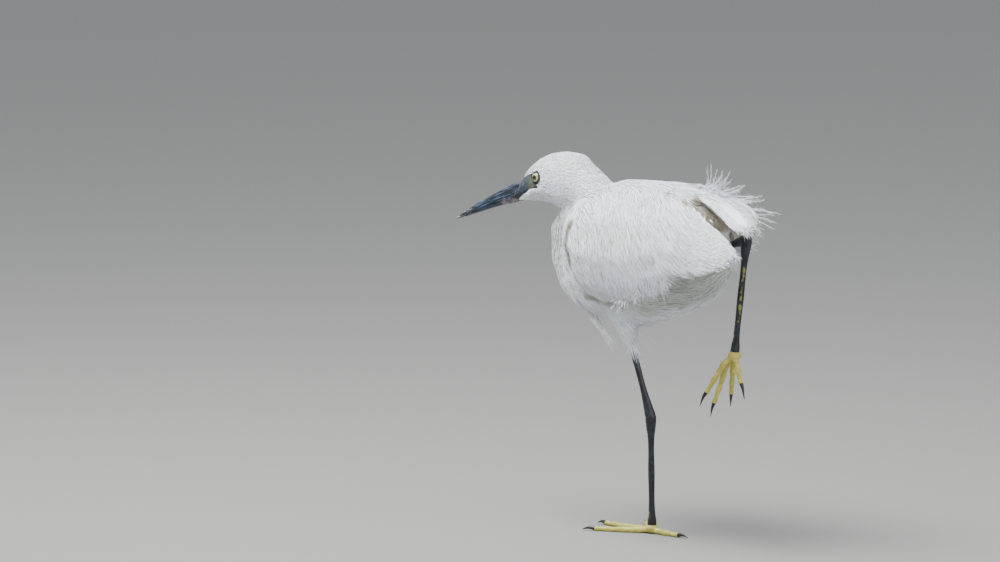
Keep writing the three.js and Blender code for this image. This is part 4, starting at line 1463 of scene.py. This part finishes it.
@dataclass
class Beak:
    """The dagger bill, parted along the line of the mouth."""

    # Distance forward, top, bottom and half width
    stations: tuple[tuple[float, ...], ...] = (
        (66, 300.5, 279.8, 6.4),
        (77, 299, 277.6, 6.5),
        (90, 292.3, 275.2, 5.9),
        (105, 284.4, 271.2, 4.8),
        (125, 273.6, 264.6, 3.4),
        (137, 266.4, 260.4, 2.3),
        (148.6, 258.3, 257.0, 0.5),
    )
    start: float = 68.0
    rings: int = 64
    around: int = 25
    gap: float = 0.16
    tucked: float = 0.45
    tuck_length: float = 20.0
    upper_power: float = 0.82
    lower_power: float = 0.9

    def build(self, jaw: Jaw) -> None:
        """Builds one half.

        Args:
            jaw: Which half.
        """
        at = np.linspace(self.start, MOUTH[1][0], self.rings)
        rows = smooth_table(self.stations, at)
        line = MOUTH[0][1] + (at - MOUTH[0][0]) * MOUTH_SLOPE
        power = self.upper_power if jaw is Jaw.UPPER else self.lower_power
        rings = []
        for forward, (top, bottom, wide), lip in zip(at, rows, line):
            edge = top if jaw is Jaw.UPPER else bottom
            tuck = self.tucked + (1 - self.tucked) * min(1.0, (forward - self.start) / self.tuck_length)
            tall = (abs(edge - lip) - self.gap) * tuck
            wide = wide * tuck
            ring = []
            for angle in np.linspace(0, math.pi, self.around):
                across = np.sign(math.cos(angle)) * abs(math.cos(angle)) ** power * wide
                rise = math.sin(angle) ** (1 / power) * tall
                groove = self._nostril(forward, rise, tall, jaw)
                ring.append(head_point(forward, lip + jaw.value * (self.gap + rise), across * (1 - groove)))
            rings.append(ring)
        name = f"bill_{jaw.name.lower()}"
        declare(lofted(np.array(rings), f"shape_{name}", BILL), "bill", name)

    @staticmethod
    def _nostril(forward: float, rise: float, tall: float, jaw: Jaw) -> float:
        """How deep the nostril's slot and the furrow before it are.

        Args:
            forward: The place along the bill.
            rise: The height over the mouth.
            tall: The half's whole height there.
            jaw: Which half.
        Returns:
            The share of the width that is cut away.
        """
        if jaw is Jaw.LOWER:
            return 0.0
        slot = math.exp(-(((forward - 80) / 7) ** 4))
        furrow = math.exp(-(((forward - 96) / 22) ** 4)) * 0.05
        level = math.exp(-(((rise / tall - 0.5) / 0.12) ** 2))
        return level * (0.22 * slot + furrow)


@dataclass
class Eye:
    """An eyeball with its cornea, and the lids round it."""

    side: int
    cornea: float = 0.05
    cornea_start: float = 0.7
    lid_radius: float = 4.55
    lid_flatness: float = 0.93
    lid_width: float = 0.62
    lid_height: float = 0.7
    lid_steps: int = 60
    lid_around: int = 10

    @staticmethod
    def axis(side: int) -> Array:
        """The way the left eye, at 1, or the right one, at -1, looks."""
        return unit(HEAD_LEFT * side + HEAD_FORWARD * 0.16 + np.array([0, 0, 0.06]))

    @staticmethod
    def front_of(side: int) -> Array:
        """The foremost point of the left eye, at 1, or the right one, at -1."""
        return head_point(EYE_FORWARD, EYE_HEIGHT, side * EYE_SIDE) + Eye.axis(side) * EYE_RADIUS

    def build(self) -> None:
        """Builds the eye and its lids."""
        word = "left" if self.side > 0 else "right"
        centre = head_point(EYE_FORWARD, EYE_HEIGHT, self.side * EYE_SIDE)
        axis = self.axis(self.side)
        shape = bmesh.new()
        bmesh.ops.create_uvsphere(shape, u_segments=48, v_segments=32, radius=EYE_RADIUS * MM)
        turn = Vector((0, 0, 1)).rotation_difference(Vector(axis)).to_matrix().to_4x4()
        for vert in shape.verts:
            front = vert.co.z / (EYE_RADIUS * MM)
            dome = max(0.0, (front - self.cornea_start) / (1 - self.cornea_start))
            vert.co *= 1 + self.cornea * dome**1.5
        place = Matrix.Translation(Vector(placed(centre))) @ turn
        bmesh.ops.transform(shape, matrix=place, verts=shape.verts)
        declare(finished(shape, f"shape_eye_{word}", EYE), "eye", f"eye_{word}")
        self._lids(centre, axis, word)

    def _lids(self, centre: Array, axis: Array, word: str) -> None:
        """Builds the lids as a soft rim round the eye's front.

        Args:
            centre: The eye's middle.
            axis: The way it looks.
            word: Its side's name.
        """
        up = unit(np.array([0, 0, 1.0]) - axis * axis[2])
        along = np.cross(up, axis)
        turns = np.linspace(0, 2 * math.pi, self.lid_steps + 1)[:-1]
        depth = math.sqrt(EYE_RADIUS**2 - self.lid_radius**2)
        circle = np.cos(turns)[:, None] * along + np.sin(turns)[:, None] * up * self.lid_flatness
        angles = np.linspace(0, 2 * math.pi, self.lid_around, endpoint=False)
        rings = []
        for point in centre + axis * depth + circle * self.lid_radius:
            out, on = unit(point - centre) * self.lid_width, axis * self.lid_height
            rings.append([point + out * math.sin(a) + on * math.cos(a) for a in angles])
        shape = bmesh.new()
        stitched(shape, placed(rings), looped=True)
        bmesh.ops.recalc_face_normals(shape, faces=shape.faces)
        declare(finished(shape, f"lids_{word}", LID), "leg_skin")


@dataclass
class Leg:
    """A bare shin, shank, foot, toes and claws."""

    word: str
    turn: int
    knee: tuple[float, float, float]
    heel: tuple[float, float, float]
    foot: tuple[float, float, float]
    lifted: bool
    feathered: float = 0.57
    hidden: float = 0.16
    around: int = 28
    # Share of the length, half width and half depth
    shin_widths: tuple[tuple[float, ...], ...] = (
        (0, 2.6, 2.6), (0.3, 2.8, 2.9), (0.7, 2.9, 3.1), (0.86, 3.9, 4.5),
        (0.95, 4.4, 5.0), (0.985, 3.8, 4.4), (1, 1.6, 2),
    )
    shank_widths: tuple[tuple[float, ...], ...] = (
        (-0.035, 1.6, 2), (-0.02, 3.8, 4.4), (0.01, 4.5, 5.1), (0.07, 4.3, 4.7), (0.16, 3.0, 3.6),
        (0.5, 2.7, 3.3), (0.86, 2.8, 3.4), (0.96, 3.9, 4.2), (1, 3.4, 3.6),
    )
    pad_radius: float = 5.0
    pad_shape: tuple[float, float, float] = (1.12, 1.15, 0.9)
    toe_radius: float = 2.7
    claw_length: float = 11.0
    claw_radius: float = 1.75
    claw_point: float = 0.18
    # Name, bearing, length and joints
    toes: tuple[tuple[str, float, float, int], ...] = (
        ("middle", 2, 62, 4),
        ("inner", -32, 47, 3),
        ("outer", 36, 52, 4),
        ("hind", 186, 33, 2),
    )

    def build(self) -> None:
        """Builds all its pieces."""
        self._shin()
        self._shank()
        self._pad()
        for name, bearing, length, joints in self.toes:
            points = self._toe_points(bearing, length)
            self._toe(name, points, joints)
            self._claw(name, points)

    @staticmethod
    def _scutes(count: float, depth: float) -> Callable[[Array, Array], Array]:
        """The relief of overlapping scales down the front of a limb.

        Args:
            count: How many there are.
            depth: How far they stand out, as a share of the radius.
        Returns:
            The relief, from the share along and the angle.
        """

        def relief(shares: Array, angles: Array) -> Array:
            """A factor for the radius at each share along and angle."""
            return 1 + depth * ((shares * count) % 1.0 - 0.5) * (0.5 + 0.5 * np.sin(angles))

        return relief

    def _shin(self) -> None:
        """Builds the shin from inside the feathers to just past the heel."""
        knee, heel = np.array(self.knee, float), np.array(self.heel, float)
        s = np.linspace(self.feathered - self.hidden, 1.025, 64)
        line = knee + (heel - knee) * s[:, None]
        wide = smooth_table(self.shin_widths, (s - s[0]) / (s[-1] - s[0]))
        rings = tube_rings(line, wide, self.around, (1, 0, 0), self._scutes(26, 0.05))
        declare(lofted(rings, f"shape_shin_{self.word}", LEG), "leg_skin", f"shin_{self.word}")

    def _shank(self) -> None:
        """Builds the shank from just over the heel to the foot."""
        heel, foot = np.array(self.heel, float), np.array(self.foot, float)
        t = np.linspace(self.shank_widths[0][0], 1, 124)
        line = heel + (foot - heel) * t[:, None]
        wide = smooth_table(self.shank_widths, t)
        rings = tube_rings(line, wide, self.around, (1, 0, 0), self._scutes(34, 0.09))
        declare(lofted(rings, f"shape_shank_{self.word}", LEG), "leg_skin", f"shank_{self.word}")

    def _pad(self) -> None:
        """Builds the foot where the toes meet, flat where it rests on the floor."""
        shape = bmesh.new()
        bmesh.ops.create_icosphere(shape, subdivisions=4, radius=self.pad_radius * MM)
        bmesh.ops.scale(shape, vec=self.pad_shape, verts=shape.verts)
        bmesh.ops.translate(shape, vec=Vector(placed(self.foot)), verts=shape.verts)
        for vert in shape.verts:
            vert.co.z = max(vert.co.z, 0.0)
        declare(finished(shape, f"shape_foot_{self.word}", FOOT), "foot_skin", f"foot_{self.word}")

    def _toe_points(self, bearing: float, length: float) -> Array:
        """The line of a toe: flat on the floor, or hanging half closed.

        Args:
            bearing: Its bearing from straight ahead, in degrees.
            length: Its length.
        Returns:
            Four points from the foot to the toe's end.
        """
        foot = np.array(self.foot, float)
        angle = math.radians(bearing * self.turn)
        hind = abs(bearing) > 90
        away = np.array([math.sin(angle), -math.cos(angle), 0.0])
        if not self.lifted:
            high, low = self.foot[2] - 0.8, self.toe_radius - 0.6
            rows = []
            for share in (0, 0.35, 0.7, 1):
                level = high + (low - high) * min(1, share * 2.2)
                point = foot + away * share * length
                rows.append([point[0], point[1], level])
            return np.array(rows)
        drops = (0, 0.32, 0.66, 0.92) if hind else (0, 0.24, 0.6, 0.93)
        spread = np.array([away[0] * 0.62, 0.42 if hind else -0.55, 0])
        rows = []
        for i, drop in enumerate(drops):
            rows.append(foot + spread * (i / 3) ** 0.85 * length * 0.86 + (0, 0, -drop * length * 0.78))
        return np.array(rows)

    def _toe(self, name: str, points: Array, joints: int) -> None:
        """Builds a toe, thicker at its joints.

        Args:
            name: The toe's name.
            points: Its line.
            joints: How many joints it has.
        """
        line = bent(points, 24 * joints)
        t = np.linspace(0, 1, len(line))
        knuckle = 0.5 + 0.5 * np.cos(t * joints * 2 * math.pi)
        radius = self.toe_radius * (1.12 - 0.36 * t) * (0.84 + 0.2 * knuckle)
        radius[0] *= 0.6
        radius[-1] *= 0.7
        side = (1, 0, 0) if self.lifted else (0, 0, 1)
        rings = tube_rings(line, radius, 20, side, self._scutes(joints * 5, 0.07))
        if not self.lifted:
            rings[..., 2] = np.maximum(rings[..., 2], 0.0)
        piece = f"toe_{self.word}_{name}"
        declare(lofted(rings, f"shape_{piece}", FOOT), "foot_skin", piece)

    def _claw(self, name: str, points: Array) -> None:
        """Builds the claw at a toe's end.

        Args:
            name: The toe's name.
            points: The toe's line.
        """
        end = points[-1]
        way = unit(end - points[-2])
        down = 0.25 if self.lifted else 0.1
        knots = [
            end - way * 1.5,
            end + way * self.claw_length * 0.5 + np.array([0, 0, 0.6]),
            end + way * (self.claw_length + 0.6) - np.array([0, 0, self.claw_length * down]),
        ]
        radii = self.claw_radius * (1 - np.linspace(0, 1, 20) ** 1.3) + self.claw_point
        rings = tube_rings(bent(knots, 20), radii, 12, (1, 0, 0) if self.lifted else (0, 0.1, 1))
        rings[..., 2] = np.maximum(rings[..., 2], 0.0)
        piece = f"claw_{self.word}_{name}"
        declare(lofted(rings, f"shape_{piece}", CLAW), "claw", piece)


@dataclass
class Egret:
    """The whole bird."""

    left_edge: tuple[tuple[float, float, float], ...] = (
        (45, 226, 238), (43, 246, 239.5), (39, 266, 244.5), (34, 280, 251), (30, 288, 257), (27, 294, 262),
    )
    right_edge: tuple[tuple[float, float, float], ...] = (
        (-42, 192, 236), (-39, 212, 248), (-36, 230, 260), (-31, 246, 271), (-27, 256, 279), (-23, 262, 285),
    )
    tail_quills: int = 7
    # Roots and tips of the back's loose plumes
    aigrettes: tuple[tuple[tuple[float, ...], tuple[float, ...]], ...] = (
        ((-2, 212, 312), (0, 224, 333)),
        ((-1, 216, 312), (0, 241, 329)),
        ((0, 218, 311), (0, 245, 323)),
        ((2, 222, 310), (2, 254, 330)),
        ((2, 228, 309), (-2, 262, 318)),
        ((-3, 232, 308), (0, 272, 320)),
        ((-4, 240, 306), (-1, 284, 311)),
        ((3, 246, 304), (0, 296, 313)),
        ((-2, 252, 302), (2, 302, 310)),
        ((2, 262, 298), (0, 322, 299)),
        ((6, 268, 294), (2, 318, 291)),
        ((5, 272, 291), (0, 312, 285)),
        ((8, 276, 288), (2, 300, 279)),
        ((8, 276, 284), (2, 294, 270)),
    )
    # Roots and tips of the locks that hang from the breast
    breast_locks: tuple[tuple[tuple[float, ...], tuple[float, ...]], ...] = (
        ((15, 68, 196), (17, 108, 162)),
        ((17, 74, 192), (18, 113, 159)),
        ((14, 72, 190), (17, 104, 170)),
        ((18, 84, 186), (18, 117, 163)),
    )
    lock_hairs: int = 7
    thigh_hairs: int = 10
    fringe_hairs: int = 150
    cuff_hairs: int = 90

    def __post_init__(self) -> None:
        """Sets the lie of the coat and fuses the skin."""
        self.lie = Lie(guides())
        self.skin = Skin(self.lie)

    def build(self) -> None:
        """Builds every piece."""
        Coat(self.skin, self.lie).build()
        self._wing_quills()
        self._tail_quills()
        self._back_plumes()
        self._breast_plumes()
        for jaw in Jaw:
            Beak().build(jaw)
        for side in (1, -1):
            Eye(side).build()
        Leg("left", 1, LEFT_KNEE, LEFT_HEEL, LEFT_FOOT, lifted=False).build()
        Leg("right", -1, RIGHT_KNEE, RIGHT_HEEL, RIGHT_FOOT, lifted=True).build()

    def _wing_quills(self) -> None:
        """Lays the wings' quills, with their tips along the wings' edges."""
        for side, word, edge in ((1, "left", self.left_edge), (-1, "right", self.right_edge)):
            quills = Quills(f"quills_{word}", self.skin, self.lie)
            for i, tip in enumerate(bent(edge, 10)[2:]):
                share = i / 7
                root = tip + np.array([-side * 2, -62 + 4 * share, 20 - 6 * share])
                quills.vane(root, tip, 12 - 2 * share, 0.5 + 0.13 * (9 - i))
            quills.made()

    def _tail_quills(self) -> None:
        """Lays the tail's quills side by side."""
        quills = Quills("quills_tail", self.skin, self.lie)
        middle = (self.tail_quills - 1) / 2
        for i in range(self.tail_quills):
            offset = (i - middle) / middle
            root = (1 + offset * 6, 222, 310)
            tip = (7 + offset * 6, 292 - 5 * offset * offset, 285 - abs(offset))
            quills.vane(root, tip, 8, 0.35)
        quills.made()

    def _back_plumes(self) -> None:
        """Builds the barbed plumes that stand off the back."""
        back = Plumes("plumes_back", self.skin)
        for root, tip in self.aigrettes:
            back.barbed(np.array(root, float), np.array(tip, float), 2)
        back.made("plumes_front", "plumes_middle", "plumes_rear")

    def _breast_plumes(self) -> None:
        """Builds the breast's locks and the hairs of the thigh, the shins and the near wing's edge."""
        breast = Plumes("plumes_of_breast", self.skin)
        for start, end in self.breast_locks:
            starts = np.array(start) + RNG.normal(0, 1, (self.lock_hairs, 3)) * (2.5, 3, 2)
            ends = np.array(end) + RNG.normal(0, 1, (self.lock_hairs, 3)) * (0.8, 1.2, 2.5)
            breast.hairs(starts, ends, 0.8, (0, 1, -3))
        count = self.thigh_hairs
        thigh = np.array([17, 132, 178]) + RNG.uniform(-1, 1, (count, 3)) * (4, 4, 9)
        lean = np.array([2, 30, -15]) * RNG.uniform(0.3, 1.3, (count, 1))
        breast.hairs(thigh, thigh + lean + RNG.normal(0, 2.5, (count, 3)), 0.35, (0, 1, 1.5))
        for knee, heel in ((LEFT_KNEE, LEFT_HEEL), (RIGHT_KNEE, RIGHT_HEEL)):
            self._cuff(breast, np.array(knee, float), np.array(heel, float))
        count = self.fringe_hairs
        spots = (np.full(count, 70.0), RNG.uniform(150, 222, count), RNG.uniform(230, 244, count))
        for spot in np.stack(spots, 1):
            start = np.array(self.skin.tree.find_nearest(Vector(placed(spot)))[0]) / MM - BODY_ORIGIN
            hang = (-1.5, RNG.normal(3, 2.5), RNG.uniform(-27, -15))
            breast.hairs(start[None], (start + hang)[None], 0.5, (2.8, 0, 0))
        breast.made("plumes_breast")

    def _cuff(self, plumes: Plumes, knee: Array, heel: Array) -> None:
        """Lays feather tips round a shin where its bare part begins.

        Args:
            plumes: What takes them.
            knee: The shin's upper end.
            heel: Its lower end.
        """
        way = unit(heel - knee)
        side = unit(np.cross(way, (1, 0, 0)))
        other = np.cross(way, side)
        for angle in RNG.uniform(0, 2 * math.pi, self.cuff_hairs):
            away = side * math.cos(angle) + other * math.sin(angle)
            start = knee + (heel - knee) * RNG.uniform(0.47, 0.55) + away * 3.6
            end = start + way * RNG.uniform(9, 17) - away * RNG.uniform(0.1, 0.9)
            plumes.hairs(start[None], end[None], 0.8, tuple(away))


@dataclass(frozen=True)
class Lamp:
    """A soft square light: its power, its size, and its place to the right, up and back from the bird."""

    name: str
    power: float
    size: float
    place: tuple[float, float, float]


@dataclass(frozen=True)
class Studio:
    """A pale floor, soft lights, and a camera with a long lens behind the bird's left side."""

    frame_width: int = 1000
    frame_height: int = 562
    mm_per_pixel: float = 0.88
    azimuth: float = 142.0
    elevation: float = 8.0
    distance: float = 15.0
    origin_pixel: tuple[float, float] = (551.0, 512.3)
    floor_size: float = 30.0
    light_focus: tuple[float, float, float] = (0, -0.02, 0.22)
    lamps: tuple[Lamp, ...] = (
        Lamp("key", 76, 1.1, (-0.55, 1.5, 0.35)),
        Lamp("fill", 15, 1.6, (0.9, 0.5, 1.2)),
    )
    sky_color: tuple[float, float, float, float] = (0.9, 0.95, 1.0, 1)
    sky_strength: float = 0.85

    def build(self) -> None:
        """Builds the stage."""
        self._floor()
        self._camera()
        self._lights()

    def _floor(self) -> None:
        """Lays the floor."""
        shape = bmesh.new()
        bmesh.ops.create_grid(shape, x_segments=1, y_segments=1, size=self.floor_size)
        finished(shape, "floor", FLOOR, smooth=False)

    def _axes(self) -> tuple[Vector, Vector, Vector]:
        """The camera's own axes.

        Returns:
            The ways to its right, back and up.
        """
        turn, rise = math.radians(self.azimuth), math.radians(self.elevation)
        right = Vector((math.cos(turn), math.sin(turn), 0))
        back = Vector((math.sin(turn) * math.cos(rise), -math.cos(turn) * math.cos(rise), math.sin(rise)))
        return right, back, back.cross(right)

    def _camera(self) -> None:
        """Sets up the camera so that the standing foot is at its pixel."""
        right, back, up = self._axes()
        across = (self.frame_width / 2 - self.origin_pixel[0]) * self.mm_per_pixel * MM
        rise = (self.origin_pixel[1] - self.frame_height / 2) * self.mm_per_pixel * MM
        target = right * across + up * rise + Vector(BODY_ORIGIN * MM)
        data = bpy.data.cameras.new("camera")
        width = self.frame_width * self.mm_per_pixel * MM
        data.lens = data.sensor_width * self.distance / width
        data.clip_end = 100
        camera = bpy.data.objects.new("camera", data)
        bpy.context.scene.collection.objects.link(camera)
        turned = Matrix((right, up, back)).transposed().to_4x4()
        camera.matrix_world = Matrix.Translation(target + back * self.distance) @ turned
        bpy.context.scene.camera = camera

    def _lights(self) -> None:
        """Hangs the lamps and sets the sky."""
        right, back, up = self._axes()
        for lamp in self.lamps:
            way = right * lamp.place[0] + up * lamp.place[1] + back * lamp.place[2]
            data = bpy.data.lights.new(lamp.name, "AREA")
            data.energy = lamp.power
            data.size = lamp.size
            light = bpy.data.objects.new(lamp.name, data)
            bpy.context.scene.collection.objects.link(light)
            light.location = Vector(self.light_focus) + way
            light.rotation_euler = way.to_track_quat("Z", "Y").to_euler()
        world = bpy.data.worlds.new("soft")
        world.use_nodes = True
        sky = world.node_tree.nodes["Background"]
        sky.inputs["Color"].default_value = self.sky_color
        sky.inputs["Strength"].default_value = self.sky_strength
        bpy.context.scene.world = world


def main() -> None:
    """Builds the scene and notes how many triangles its meshes have once the bird is built."""
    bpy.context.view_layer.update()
    Egret().build()
    shown = sum(len(p.vertices) - 2 for o in bpy.data.objects if o.type == "MESH" for p in o.data.polygons)
    LOG.info("triangles with the frame's own: %d", shown)
    Studio().build()


if __name__ == "__main__":
    main()
